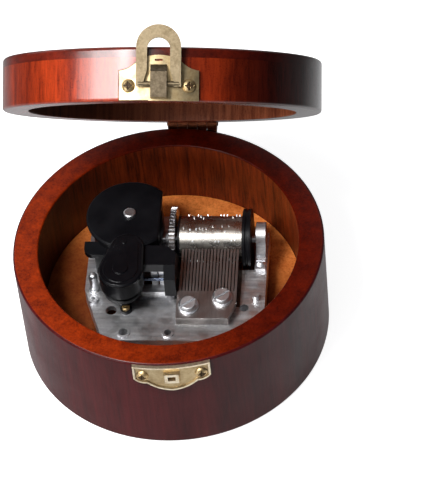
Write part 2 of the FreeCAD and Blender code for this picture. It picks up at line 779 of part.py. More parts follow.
def rail(start, end):
    """Stiffening rail below one edge of the deck."""
    a, b = V(start[0], start[1], 0), V(end[0], end[1], 0)
    way = (b - a).normalize()
    inward = V(-way.y, way.x, 0) * rail_thickness
    low = V(0, 0, deck_bottom - rail_depth)
    a, b = a + low, b + low
    return polygon([a, b, b + inward, a + inward]).extrude(V(0, 0, rail_depth + 0.2))


def bedplate_screws():
    """Four screws that hold the bedplate, their heads below the floor board."""
    seat = floor_level - floor_thickness
    screws = []
    for x, y in bed_screw_points:
        head = disc(bed_screw_head_radius, seat - bed_screw_head_height, seat, x, y)
        reach, half = bed_screw_head_radius + 0.5, screw_slot_width / 2
        slot = block(x - reach, x + reach, y - half, y + half, seat - bed_screw_head_height - 1,
                     seat - bed_screw_head_height / 2)
        shank = disc(bed_screw_radius, seat, seat + bed_screw_length, x, y)
        screws.append(head.cut(slot).fuse(shank))
    return Part.makeCompound(screws)


# ---- comb --------------------------------------------------------------------------------------------
def comb_span():
    """Width of the comb over its outer teeth."""
    return comb_teeth * comb_pitch - comb_slot


def comb_placed(shape):
    """Move a shape from the comb's own frame (top face, front edge) to its tilted place."""
    shape.rotate(V(0, 0, 0), X, comb_tilt)
    shape.translate(V(0, comb_front, deck_top + comb_front_height))
    return shape


def comb_pad_heights():
    """Height of the pad at its front and its back, under the tilted comb."""
    slope = math.tan(math.radians(comb_tilt))
    under = deck_top + comb_front_height - comb_thickness / math.cos(math.radians(comb_tilt))
    return under + 0.3 * slope, under + (comb_base_length - 0.4) * slope


def comb():
    """Steel comb: thick base, thin teeth, tips cut to the cylinder's circle."""
    right = comb_left + comb_span()
    base = polygon([
        V(comb_left - comb_base_left, 0, -comb_thickness), V(right - comb_chamfer_x, 0, -comb_thickness),
        V(right, comb_chamfer_y, -comb_thickness), V(right, comb_base_length, -comb_thickness),
        V(comb_left - comb_base_left, comb_base_length, -comb_thickness),
    ]).extrude(V(0, 0, comb_thickness))
    teeth = []
    for index in range(comb_teeth):
        x = comb_left + index * comb_pitch
        side = polygon([
            V(x, comb_base_length - 0.5, 0), V(x, comb_length, 0),
            V(x, comb_length, -tooth_thickness * 0.6),
            V(x, comb_base_length + 2.0, -tooth_thickness), V(x, comb_base_length - 0.5, -tooth_thickness),
        ])
        teeth.append(side.extrude(V(comb_pitch - comb_slot, 0, 0)))
    plate = base.fuse(teeth)
    for x, distance in comb_screw_points:
        plate = plate.cut(disc(comb_screw_radius + 0.05, -9, 9, x, distance))
    plate = comb_placed(plate.removeSplitter())
    tip_circle = drum_radius + pin_rise + comb_tip_clearance
    return plate.cut(roller(tip_circle, comb_left - 1, right + 1, axis_y, axis_z))


def comb_washers():
    """Flat washers below the comb screws."""
    washers = [disc(washer_radius, 0, washer_thickness, x, distance, bore=comb_screw_radius + 0.05)
               for x, distance in comb_screw_points]
    return comb_placed(Part.makeCompound(washers))


def comb_screws():
    """Two pan-head screws with a slot."""
    screws = []
    for x, distance in comb_screw_points:
        top, shank, head = washer_thickness + comb_head_height, comb_screw_radius, comb_head_radius
        profile = [(0, -comb_screw_length), (shank, -comb_screw_length), (shank, washer_thickness),
                   (head, washer_thickness), (head, top - comb_head_edge),
                   (head - comb_head_edge, top), (0, top)]
        screw = turned(profile, V(x, distance, 0))
        reach, half = comb_head_radius + 0.5, comb_driver_slot / 2
        slot = block(-reach, reach, -half, half, top - comb_driver_slot, top + 1)
        slot.rotate(V(0, 0, 0), Z, comb_driver_turn)
        slot.translate(V(x, distance, 0))
        screws.append(screw.cut(slot))
    return comb_placed(Part.makeCompound(screws))


# ---- cylinder --------------------------------------------------------------------------------------------
def cylinder_drum():
    """Thin brass tube that carries the pins."""
    return roller(drum_radius, drum_left, drum_right, axis_y, axis_z, bore=drum_radius - drum_wall)


def cylinder_pins():
    """Pins of the tune, one track for each tooth of the comb."""
    draw = random.Random(pin_seed)
    pins = []
    for track in range(comb_teeth):
        x = comb_left + track * comb_pitch + (comb_pitch - comb_slot) / 2
        for index in range(pins_per_track):
            angle = 360 * (index + 0.75 * draw.random()) / pins_per_track
            corners = []
            for corner in range(6):
                turn = math.radians(60 * corner)
                corners.append(V(x + pin_radius * math.cos(turn), axis_y + pin_radius * math.sin(turn),
                                 axis_z + drum_radius - pin_sink))
            pin = polygon(corners).extrude(V(0, 0, pin_sink + pin_rise))
            pin.rotate(V(x, axis_y, axis_z), X, angle)
            pins.append(pin)
    return Part.makeCompound(pins)


def cylinder_shaft():
    """Steel shaft in the bedplate's post and the bearing bracket."""
    left = arbor_x + crown_pitch_radius - crown_tooth_length / 2
    return roller(shaft_radius, left, bracket_left + bracket_width - 0.4, axis_y, axis_z)


def cylinder_flange_left():
    """Black end plate between the toothed wheel and the drum."""
    left = drum_left - flange_left_width
    plate = roller(flange_left_radius, left, drum_left, axis_y, axis_z)
    plug = roller(drum_radius - drum_wall - 0.02, drum_left, drum_left + 1.5, axis_y, axis_z)
    return plate.fuse(plug).cut(roller(shaft_radius + 0.01, left - 1, drum_right, axis_y, axis_z))


def cylinder_flange_right():
    """Stepped black end plate at the right end of the drum."""
    right = drum_right + flange_right_width
    plate = roller(flange_right_radius, drum_right, drum_right + 0.9, axis_y, axis_z)
    waist = roller(flange_right_radius - flange_step, drum_right + 0.8, right - 0.8, axis_y, axis_z)
    back = roller(flange_right_radius, right - 0.9, right, axis_y, axis_z)
    plug = roller(drum_radius - drum_wall - 0.02, drum_right - 1.5, drum_right, axis_y, axis_z)
    body = plate.fuse([waist, back, plug])
    return body.cut(roller(shaft_radius + 0.01, drum_left, right + 1, axis_y, axis_z)).removeSplitter()


def cylinder_wheel():
    """Toothed wheel that drives the governor."""
    return spur_gear(wheel_teeth, gear_module, wheel_left, wheel_width, axis_y, axis_z,
                     shaft_radius + 0.01, wheel_phase())


def cylinder_collar():
    """Bright collar between the toothed wheel and the left end plate."""
    left = wheel_left + wheel_width
    return roller(collar_radius, left, drum_left - flange_left_width, axis_y, axis_z, shaft_radius + 0.01)


def cylinder_pinion():
    """Pinion that the barrel's crown teeth turn."""
    width = crown_tooth_length - 0.4
    left = arbor_x + crown_pitch_radius - width / 2
    return spur_gear(pinion_teeth, crown_module, left, width, axis_y, axis_z, shaft_radius + 0.01,
                     math.pi / pinion_teeth - math.pi / 2)


def bearing_bracket():
    """Upright at the right end of the shaft, with a foot screwed to the deck."""
    right = bracket_left + bracket_width
    head_z = axis_z + bracket_above_axis
    upright = block(bracket_left, right, axis_y - bracket_radius, axis_y + bracket_radius, deck_top, head_z)
    head = roller(bracket_radius, bracket_left, right, axis_y, head_z)
    foot = block(bracket_left, right, bracket_screw_y - 2.2, axis_y, deck_top,
                 deck_top + bracket_foot_height)
    toe = polygon([
        V(bracket_left, axis_y - bracket_radius - 2.4, deck_top + bracket_foot_height - 0.1),
        V(bracket_left, axis_y - bracket_radius + 0.1, deck_top + bracket_foot_height - 0.1),
        V(bracket_left, axis_y - bracket_radius + 0.1, deck_top + bracket_toe_height),
    ]).extrude(V(bracket_width, 0, 0))
    bracket = upright.fuse([head, foot, toe])
    bore = roller(shaft_radius + bearing_fit, bracket_left - 1, right - 0.3, axis_y, axis_z)
    bracket = bracket.cut(bore)
    hole = disc(bracket_screw_radius + screw_hole_fit, deck_bottom, deck_top + 3, *bracket_screw_point)
    return bracket.cut(hole).removeSplitter()


def pan_screw(x, y, seat, shank, head, height, depth):
    """Small pan-head machine screw that stands upright."""
    top = seat + height
    profile = [(0, seat - depth), (shank, seat - depth), (shank, seat), (head, seat),
               (head, top - height * 0.4), (head * 0.7, top), (0, top)]
    screw = turned(profile, V(x, y, 0))
    return screw.cut(block(x - head, x + head, y - 0.2, y + 0.2, top - height * 0.45, top + 1))


def bracket_screw():
    """Screw of the bearing bracket."""
    x, y = bracket_screw_point
    return pan_screw(x, y, deck_top + bracket_foot_height, bracket_screw_radius, 1.3, 0.9, 3.0)


# ---- spring, barrel and winding --------------------------------------------------------------------------
def case_outline(radius, flat):
    """D-shaped outline round the arbor: a circle with a flat side towards the wheel."""
    rise = math.sqrt(radius ** 2 - flat ** 2)
    low, high = V(arbor_x + flat, axis_y - rise, 0), V(arbor_x + flat, axis_y + rise, 0)
    return outline([(low, high), (high, V(arbor_x - radius, axis_y, 0), low)])


def spring_case():
    """Black moulded cover over the spring barrel: a wall, a wider top plate and a thin ear."""
    wall = case_outline(case_radius - case_overhang, case_flat - case_flat_overhang)
    wall = wall.extrude(V(0, 0, case_top - 0.5 - deck_top))
    wall.translate(V(0, 0, deck_top))
    top = case_outline(case_radius, case_flat).extrude(V(0, 0, case_lip))
    top.translate(V(0, 0, case_top - case_lip))
    edges = [e for e in top.Edges if abs(e.BoundBox.ZMin - case_top) < 0.01]
    top = top.makeChamfer(case_edge, edges)
    cavity = case_outline(case_radius - case_overhang - case_wall, case_flat - case_flat_overhang - case_wall)
    cavity = cavity.extrude(V(0, 0, case_top - case_lip - deck_top + 1))
    cavity.translate(V(0, 0, deck_top - 1))
    post = block(ear_post_left, ear_post_right, ear_front, ear_back, deck_top, ear_top)
    post = post.fuse(ear())
    post = post.cut(disc(case_radius - case_overhang - case_wall, 0, 60, arbor_x, axis_y))
    case = wall.fuse([top, post])
    case = case.cut(cavity)
    opening_top = axis_z + pinion_pitch_radius + pinion_opening_above
    side = block(arbor_x + case_flat - case_flat_overhang - case_wall - 0.1, arbor_x + case_flat + 1,
                 axis_y - pinion_opening_half, axis_y + pinion_opening_half, deck_top - 1, opening_top)
    case = case.cut(side)
    barrel_room = disc(barrel_radius + barrel_clearance, barrel_bottom - barrel_clearance,
                       barrel_top + barrel_clearance, arbor_x, axis_y)
    case = case.cut(barrel_room)
    return case.cut(disc(arbor_radius + bearing_fit, 0, 60, arbor_x, axis_y)).removeSplitter()


def ear():
    """Thin ear with one rounded corner at the front left of the case."""
    def p(x, y):
        return V(x, y, ear_bottom)

    turn = ear_round * (1 - math.sqrt(0.5))
    arc = (p(ear_left, ear_front + ear_round), p(ear_left + turn, ear_front + turn),
           p(ear_left + ear_round, ear_front))
    face = outline([
        (p(ear_left, ear_back), arc[0]), arc, (arc[2], p(ear_right, ear_front)),
        (p(ear_right, ear_front), p(ear_right, ear_back)), (p(ear_right, ear_back), p(ear_left, ear_back)),
    ])
    return face.extrude(V(0, 0, ear_top - ear_bottom))


def spring_barrel():
    """Barrel that holds the spring, with crown teeth below that drive the pinion."""
    outer = crown_pitch_radius + crown_tooth_length / 2
    hub = arbor_radius + bearing_fit
    barrel = turned([
        (hub, crown_bottom), (outer, crown_bottom), (outer, crown_root), (barrel_hub_radius, crown_root),
        (barrel_hub_radius, barrel_bottom), (barrel_radius, barrel_bottom), (barrel_radius, barrel_top),
        (barrel_radius - barrel_wall, barrel_top), (barrel_radius - barrel_wall, barrel_bottom + 0.7),
        (hub, barrel_bottom + 0.7),
    ], V(arbor_x, axis_y, 0))
    teeth = []
    width = crown_module * math.pi / 2
    for index in range(crown_teeth):
        inner, tall = outer - crown_tooth_length, crown_tip
        low, high = width * 0.52, width * 0.26
        tooth = polygon([
            V(inner, -low, crown_root - 0.1), V(inner, low, crown_root - 0.1), V(inner, high, tall),
            V(inner, -high, tall),
        ]).extrude(V(crown_tooth_length - 0.05, 0, 0))
        tooth.rotate(V(0, 0, 0), Z, 360 * index / crown_teeth)
        tooth.translate(V(arbor_x, axis_y, 0))
        teeth.append(tooth)
    return barrel.fuse(teeth).removeSplitter()


def mainspring():
    """Coiled flat spring between the arbor's core and the barrel's wall."""
    start = spring_core_radius + 0.1
    end = barrel_radius - barrel_wall - spring_strip
    steps = spring_turns * 12
    inner, outer = [], []
    for step in range(steps + 1):
        angle = 2 * math.pi * spring_turns * step / steps
        radius = start + (end - start) * step / steps
        way = V(math.cos(angle), math.sin(angle), 0)
        inner.append(V(arbor_x, axis_y, spring_bottom) + way * radius)
        outer.append(V(arbor_x, axis_y, spring_bottom) + way * (radius + spring_strip))
    return polygon(inner + outer[::-1]).extrude(V(0, 0, spring_top - spring_bottom))


def winding_arbor():
    """Arbor that winds the spring: threaded for the key below, seen as a bright end on top."""
    bottom = key_clearance + key_wing_height * 0.5
    arbor = disc(arbor_radius, bottom, arbor_top - 0.2, arbor_x, axis_y)
    tip = Part.makeCone(arbor_radius, arbor_radius - 0.25, 0.2, V(arbor_x, axis_y, arbor_top - 0.2))
    core = disc(spring_core_radius, spring_bottom, spring_top, arbor_x, axis_y)
    return arbor.fuse([tip, core]).removeSplitter()


def winding_key():
    """Key with two round wings with a hole in each, on a round hub."""
    hub_top = key_clearance + key_wing_height + 1.4
    hub = disc(key_hub_radius, hub_top - key_hub_length, hub_top, arbor_x, axis_y)
    half, low, high = key_wing_width / 2, key_clearance, key_clearance + key_wing_height
    radius = key_wing_height / 2
    y = axis_y - key_wing_thickness / 2

    def p(x, z):
        return V(arbor_x + x, y, z)

    middle = (low + high) / 2
    wing = outline([
        (p(-half + radius, low), p(half - radius, low)),
        (p(half - radius, low), p(half, middle), p(half - radius, high)),
        (p(half - radius, high), p(-half + radius, high)),
        (p(-half + radius, high), p(-half, middle), p(-half + radius, low)),
    ]).extrude(V(0, key_wing_thickness, 0))
    for side in (-1, 1):
        x = arbor_x + side * (half - radius)
        wing = wing.cut(rod(radius * 0.5, V(x, y - 1, middle), V(x, y + 4, middle)))
    key = hub.fuse(wing)
    bore = disc(arbor_radius + 0.02, key_clearance + key_wing_height * 0.5, 60, arbor_x, axis_y)
    return key.cut(bore).removeSplitter()


# ---- governor ------------------------------------------------------------------------------------------
def wheel_phase():
    """Turns the toothed wheel so that a tooth points at the idler."""
    return math.radians(180 - idler_angle)


def idler_phase():
    """Puts a gap of the idler against the wheel's tooth."""
    return math.radians(-idler_angle) + math.pi / idler_teeth


def governor_phase():
    """Meshes the governor's wheel with the idler."""
    way = math.atan2(governor_z - idler_z, governor_y - idler_y)
    pitch = 2 * math.pi / idler_teeth
    offset = ((way - idler_phase()) % pitch) / pitch
    return way + math.pi + (offset + 0.5) * 2 * math.pi / governor_teeth


def idler_pinion():
    """Loose pinion between the toothed wheel and the governor."""
    return spur_gear(idler_teeth, gear_module, wheel_left, wheel_width, idler_y, idler_z,
                     idler_axle_radius + bearing_fit, idler_phase())


def idler_axle():
    """Fixed axle of the idler, held at both ends in the governor's frame."""
    right = end_wall_left + end_wall_width - 0.2
    return roller(idler_axle_radius, idler_post_left + 0.2, right, idler_y, idler_z)


def governor_wheel():
    """Wheel of the governor's arbor, driven by the idler."""
    return spur_gear(governor_teeth, gear_module, wheel_left, wheel_width, governor_y, governor_z,
                     arbor2_radius + 0.01, governor_phase())


def governor_arbor():
    """Arbor of the governor, from its left cheek to the right end wall."""
    right = end_wall_left + end_wall_width - 0.2
    return roller(arbor2_radius, cheek_left + 0.2, right, governor_y, governor_z)


def worm_wheel():
    """Wheel whose teeth run in the worm."""
    teeth, radius = worm_wheel_teeth, worm_wheel_pitch_radius
    points = []
    pitch = 2 * math.pi / teeth
    tooth = 0.33 * pitch / 2
    root, tip = radius - worm_wheel_dedendum, radius + worm_wheel_addendum
    for index in range(teeth):
        middle = math.pi + (index + worm_offset()) * pitch
        for r, share in ((root, -1.7), (tip, -0.6), (tip, 0.6), (root, 1.7)):
            angle = middle + share * tooth
            points.append(V(r * math.cos(angle), r * math.sin(angle), 0))
    face = polygon(points).cut(Part.Face(Part.Wire(Part.makeCircle(arbor2_radius + 0.01))))
    solid = face.extrude(V(0, 0, worm_wheel_width))
    left = spindle_x - worm_wheel_width / 2
    solid.Placement = FreeCAD.Placement(V(left, governor_y, governor_z), FreeCAD.Rotation(Y, Z, X, "XYZ"))
    return solid


def worm_offset():
    """Share of a tooth pitch that sets the wheel's tooth between two turns of the thread."""
    # the thread's height where it faces the wheel (towards +Y, a quarter turn from its start)
    thread = worm_bottom + worm_lead * 0.25
    below = (governor_z - thread) / worm_lead
    # with the wheel's tooth index rising, the tooth moves down on the side that faces the worm
    return 0.5 + (below % 1.0)


def fan_spindle():
    """Upright spindle with the worm's single thread."""
    core = disc(worm_root_radius, worm_bottom - 0.2, worm_bottom + worm_length + 0.2, spindle_x, spindle_y)
    thin = disc(spindle_radius, deck_top + 0.1, case_top + 0.3, spindle_x, spindle_y)
    turns = int(worm_length / worm_lead)
    helix = Part.makeHelix(worm_lead, turns * worm_lead, worm_root_radius)
    low, high = worm_lead * 0.17, worm_lead * 0.09
    r0, r1 = worm_root_radius - 0.15, worm_root_radius + worm_thread_rise
    corners = [V(r0, 0, -low), V(r1, 0, -high), V(r1, 0, high), V(r0, 0, low)]
    section = Part.makePolygon(corners + [corners[0]])
    thread = Part.Wire(helix).makePipeShell([section], True, True)
    thread.translate(V(spindle_x, spindle_y, worm_bottom))
    return core.fuse([thin, thread])


def fan():
    """Air brake: two flat blades on a hub."""
    low = cup_floor + cup_floor_thickness + fan_gap
    high = case_top - fan_gap
    hub = disc(fan_hub_radius, low, high, spindle_x, spindle_y)
    half = fan_blade_thickness / 2
    blades = block(spindle_x - fan_radius, spindle_x + fan_radius, spindle_y - half, spindle_y + half,
                   low + 0.3, high - 0.2)
    return hub.fuse(blades).cut(disc(spindle_radius + 0.01, low - 1, high + 1, spindle_x, spindle_y))


def lobed_outline(grow=0.0):
    """Outline of the governor's cover: a large round lobe, a smaller one behind, joined by tangents."""
    big, small = cup_radius + cover_overhang + grow, upper_lobe_radius + grow
    a, b = V(spindle_x, spindle_y, 0), V(upper_lobe_x, upper_lobe_y, 0)
    way = math.atan2(b.y - a.y, b.x - a.x)
    spread = math.acos((big - small) / (b - a).Length)

    def rim(centre, radius, angle):
        return centre + V(radius * math.cos(angle), radius * math.sin(angle), 0)

    left, right = way + spread, way - spread
    return outline([
        (rim(a, big, right), rim(b, small, right)),
        (rim(b, small, right), rim(b, small, way), rim(b, small, left)),
        (rim(b, small, left), rim(a, big, left)),
        (rim(a, big, left), rim(a, big, way + math.pi), rim(a, big, right)),
    ])


def governor_frame():
    """Black moulded frame: fan cup, worm foot, bearings of the arbors and the arm over the wheels."""
    end_right = end_wall_left + end_wall_width
    sx, sy = governor_screw_point
    parts = [end_wall(), hood()]
    parts.append(block(cheek_left, cheek_left + cheek_width, governor_y - cheek_half, governor_y + cheek_half,
                       deck_top, governor_z + cheek_half))
    parts.append(block(idler_post_left, idler_post_left + idler_post_width, idler_y - idler_post_half,
                       idler_y + idler_post_half, deck_top, arm_top - arm_thickness))
    parts.append(arm())
    upper = lobed_outline(-0.2).extrude(V(0, 0, case_lip))
    upper.translate(V(0, 0, case_top - case_lip))
    upper = upper.cut(disc(cup_radius - cup_wall, 0, 60, spindle_x, spindle_y))
    parts.append(upper.cut(disc(case_radius + 0.1, 0, 60, arbor_x, axis_y)))
    web_left, web_front = spindle_x + 2.0, governor_y + 0.8
    parts.append(block(web_left, web_left + web_width, web_front, web_front + web_thickness,
                       deck_top, case_top - 1.0))
    foot_top = deck_top + governor_foot_height
    parts.append(disc(governor_tab_radius, deck_top, foot_top, sx, sy))
    parts.append(block(sx - governor_bridge_half, sx + governor_bridge_half, sy,
                       spindle_y - governor_foot_radius * 0.6, deck_top, foot_top))
    frame = governor_body().fuse(parts)
    far = end_right + 1
    frame = frame.cut(roller(arbor2_radius + bearing_fit, cheek_left - 1, far, governor_y, governor_z))
    frame = frame.cut(roller(idler_axle_radius + 0.01, idler_post_left - 1, far, idler_y, idler_z))
    frame = frame.cut(disc(governor_screw_radius + screw_hole_fit, 0, deck_top + 3, sx, sy))
    return frame.removeSplitter()


def governor_body():
    """Round body below the cover: foot, cone, grooved ring and the cup that the fan turns in."""
    ring = lower_ring_radius
    groove_low, groove_high = cup_floor - ring_groove_low, cup_floor - ring_groove_high
    floor_top = cup_floor + cup_floor_thickness
    bearing, sleeve = spindle_radius + bearing_fit, spindle_radius + 0.4
    body = turned([
        (bearing, deck_top), (governor_foot_radius, deck_top), (governor_foot_radius, deck_top + cone_bottom),
        (ring - 0.6, deck_top + cone_top), (ring, deck_top + cone_top + 0.3), (ring, groove_low),
        (ring - ring_groove, groove_low + 0.2), (ring - ring_groove, groove_high - 0.2), (ring, groove_high),
        (ring, cup_floor), (cup_radius, cup_floor), (cup_radius, case_top), (cup_radius - cup_wall, case_top),
        (cup_radius - cup_wall, floor_top), (sleeve, floor_top), (sleeve, cup_floor),
        (ring - lower_ring_wall, cup_floor), (ring - lower_ring_wall, deck_top + cone_top + 0.6),
        (governor_foot_bore, deck_top + cone_bottom + 0.2),
        (governor_foot_bore, deck_top + governor_foot_height), (bearing, deck_top + governor_foot_height),
    ], V(spindle_x, spindle_y, 0))
    half = worm_wheel_width / 2 + worm_room
    room = block(spindle_x - half, spindle_x + half, spindle_y + worm_room_start,
                 governor_y + worm_wheel_pitch_radius + 1, deck_top - 1, cup_floor - 0.05)
    return body.cut(room)


def hood_profile():
    """Corners of the hood's outside (y, z), from its lower edge up to the arm's front edge."""
    wheel_front = governor_y - governor_pitch_radius - addendum * gear_module
    front = wheel_front - hood_gap - hood_wall
    return [(front, hood_bottom), (front + 0.4, hood_shoulder), (arm_front, arm_top)]


def hood():
    """Bent guard in front of the governor's wheel, hanging from the arm."""
    left, right = wheel_left - 0.35, end_wall_left + end_wall_width
    outside = hood_profile()
    inside = [(y + hood_wall, min(z, arm_top - arm_thickness)) for y, z in reversed(outside)]
    guard = polygon([V(left, y, z) for y, z in outside + inside])
    return guard.extrude(V(right - left, 0, 0))


def end_wall():
    """Wall at the right end of the frame that carries the idler's axle and the governor's arbor."""
    back = idler_y + 1.4
    points = [(end_wall_foot, deck_top)] + hood_profile()
    points += [(arm_back - arm_corner, arm_top), (back, idler_z + 2), (back, deck_top)]
    face = polygon([V(end_wall_left, y, z) for y, z in points])
    return face.extrude(V(end_wall_width, 0, 0))


def arm():
    """Flat arm over the wheels with a lip along its front and a cut corner at its back."""
    left, right = spindle_x + cup_radius - cup_wall + 0.1, end_wall_left + end_wall_width
    low = arm_top - arm_thickness
    plate = polygon([
        V(left, arm_front, low), V(right, arm_front, low), V(right, arm_back - arm_corner, low),
        V(right - arm_corner, arm_back, low), V(left, arm_back, low),
    ]).extrude(V(0, 0, arm_thickness))
    plate = plate.cut(disc(case_radius + 0.1, 0, 60, arbor_x, axis_y))
    lip = block(left, right, arm_front, arm_front + arm_lip_width, arm_top - arm_lip_height, arm_top)
    return plate.fuse(lip)


def governor_cover():
    """Lobed lid of the governor; it also reaches over the front of the spring case."""
    top = case_top + cover_thickness
    cover = lobed_outline().extrude(V(0, 0, cover_thickness))
    cover.translate(V(0, 0, case_top))
    edges = [e for e in cover.Edges if abs(e.BoundBox.ZMin - top) < 0.01]
    cover = cover.makeChamfer(cover_edge, edges)
    plateau = lobed_outline(-plateau_inset).extrude(V(0, 0, plateau_height + 0.1))
    plateau.translate(V(0, 0, top - 0.1))
    boss = disc(cover_boss_radius, top, top + plateau_height + cover_boss_height, spindle_x, spindle_y)
    pip = disc(cover_pip_radius, top, top + plateau_height + 0.3, upper_lobe_x - 0.7, upper_lobe_y + 1.1)
    cover = cover.fuse([plateau, boss, pip])
    return cover.cut(disc(spindle_radius + bearing_fit, 0, case_top + 0.5, spindle_x, spindle_y))


def governor_screw():
    """Small brass screw of the governor's foot."""
    x, y = governor_screw_point
    seat = deck_top + governor_foot_height
    return pan_screw(x, y, seat, governor_screw_radius, 1.1, 0.8, 2.4)


def frame_stud():
    """Bright stud at the left of the governor."""
    collar, straight, shank = stud_radius + stud_collar, deck_top + stud_height, stud_radius * 0.65
    profile = [(0, deck_bottom), (shank, deck_bottom), (shank, deck_top), (collar, deck_top),
               (collar, deck_top + 0.8), (stud_radius, deck_top + 1.1), (stud_radius, straight)]
    for degrees in (30, 60):
        turn = math.radians(degrees)
        profile.append((stud_radius * math.cos(turn), straight + stud_radius * 0.85 * math.sin(turn)))
    profile.append((0, straight + stud_radius * 0.85))
    return turned(profile, V(stud_x, stud_y, 0))


# ---- export --------------------------------------------------------------------------------------------
middle_knuckles = list(range(1, hinge_knuckles, 2))
end_knuckles = list(range(0, hinge_knuckles, 2))
nodes = {
    "box_ring": box_ring(),
    "floor_board": floor_board(),
    "lid_shell": lid_shell(),
    "hinge_leaf_lower": hinge_leaf(-1, end_knuckles, hinge_seat_fit),
    "hinge_leaf_upper": opened(hinge_leaf(1, middle_knuckles, hinge_running_fit)),
    "hinge_pin": hinge_pin(),
    "hinge_screws_lower": hinge_screws(lower_leaf_z),
    "hinge_screws_upper": opened(hinge_screws(upper_leaf_z)),
    "hasp_plate": hasp_plate(),
    "hasp_loop": hasp_loop(),
    "hasp_screws": hasp_screws(),
    "strike_plate": strike_plate(),
    "strike_screws": strike_screws(),
    "bedplate": bedplate(),
    "bedplate_screws": bedplate_screws(),
    "comb": comb(),
    "comb_washers": comb_washers(),
    "comb_screws": comb_screws(),
    "cylinder_drum": cylinder_drum(),
    "cylinder_pins": cylinder_pins(),
    "cylinder_shaft": cylinder_shaft(),
    "cylinder_flange_left": cylinder_flange_left(),
    "cylinder_flange_right": cylinder_flange_right(),
    "cylinder_wheel": cylinder_wheel(),
    "cylinder_collar": cylinder_collar(),
    "cylinder_pinion": cylinder_pinion(),
    "bearing_bracket": bearing_bracket(),
    "bracket_screw": bracket_screw(),
    "spring_case": spring_case(),
    "spring_barrel": spring_barrel(),
    "mainspring": mainspring(),
    "winding_arbor": winding_arbor(),
    "winding_key": winding_key(),
    "idler_pinion": idler_pinion(),
    "idler_axle": idler_axle(),
    "governor_wheel": governor_wheel(),
    "governor_arbor": governor_arbor(),
    "worm_wheel": worm_wheel(),
    "fan_spindle": fan_spindle(),
    "fan": fan(),
    "governor_frame": governor_frame(),
    "governor_cover": governor_cover(),
    "governor_screw": governor_screw(),
    "frame_stud": frame_stud(),
}

os.makedirs("parts", exist_ok=True)
for name, shape in nodes.items():
    shape.exportStep("parts/" + name + ".step")
    box = shape.BoundBox
    print(f"{name:22s} solids {len(shape.Solids):3d}  valid {shape.isValid()}  volume {shape.Volume:9.2f}  "
          f"x {box.XMin:.1f}..{box.XMax:.1f}  y {box.YMin:.1f}..{box.YMax:.1f}  "
          f"z {box.ZMin:.1f}..{box.ZMax:.1f}")
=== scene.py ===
"""Looks of a round wooden music box with a pinned-cylinder movement.

Every piece is in metres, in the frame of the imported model: origin under the middle of the box,
+Z up, the hasp to -Y and the hinge to +Y. Sizes in the classes below are in millimetres.
"""

import logging
import math
from dataclasses import dataclass, field
from enum import Enum
from typing import Callable, Sequence, Union

import bmesh
import bpy
from mathutils import Matrix, Vector


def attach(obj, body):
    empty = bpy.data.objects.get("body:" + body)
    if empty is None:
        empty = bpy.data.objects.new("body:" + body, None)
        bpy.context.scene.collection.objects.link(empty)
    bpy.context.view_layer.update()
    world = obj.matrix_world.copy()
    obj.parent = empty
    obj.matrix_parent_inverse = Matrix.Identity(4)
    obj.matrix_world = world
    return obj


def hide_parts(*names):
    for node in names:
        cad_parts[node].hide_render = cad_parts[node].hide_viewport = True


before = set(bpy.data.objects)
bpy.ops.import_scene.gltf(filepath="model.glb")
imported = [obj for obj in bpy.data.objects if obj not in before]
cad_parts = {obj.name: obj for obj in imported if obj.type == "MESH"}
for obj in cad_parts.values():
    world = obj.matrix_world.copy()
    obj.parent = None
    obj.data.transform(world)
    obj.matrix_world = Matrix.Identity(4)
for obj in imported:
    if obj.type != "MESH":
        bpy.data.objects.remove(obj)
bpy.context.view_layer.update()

MM = 0.001
LOG = logging.getLogger("music_box")

LID_ANGLE = math.radians(50.8)
HINGE_AXIS = Vector((0.0, 44.3, 34.15)) * MM

Colour = tuple[float, float, float]
Point = tuple[float, float, float]
Value = Union[bpy.types.NodeSocket, float]
Paint = Union[bpy.types.NodeSocket, tuple[float, float, float, float]]
Place = Union[bpy.types.NodeSocket, Point]

WHITE = (1.0, 1.0, 1.0, 1.0)
SHARP = math.radians(35.0)   # edges between faces at more than this angle are softened
CREASE = math.radians(50.0)  # faces that meet at more than this angle keep an edge between them
FLAT = math.radians(0.6)     # faces that meet at less than this angle are one face
SOFT_FACES = 2               # faces across a softened edge


class Part(Enum):
    """Bodies that a piece can move with."""

    BOX = "box"
    LID = "lid"
    LOOP = "loop"
    KEY = "key"
    BARREL = "barrel"
    CYLINDER = "cylinder"
    IDLER = "idler"
    GOVERNOR = "governor"
    FAN = "fan"


# ---- node groups ---------------------------------------------------------------------------------


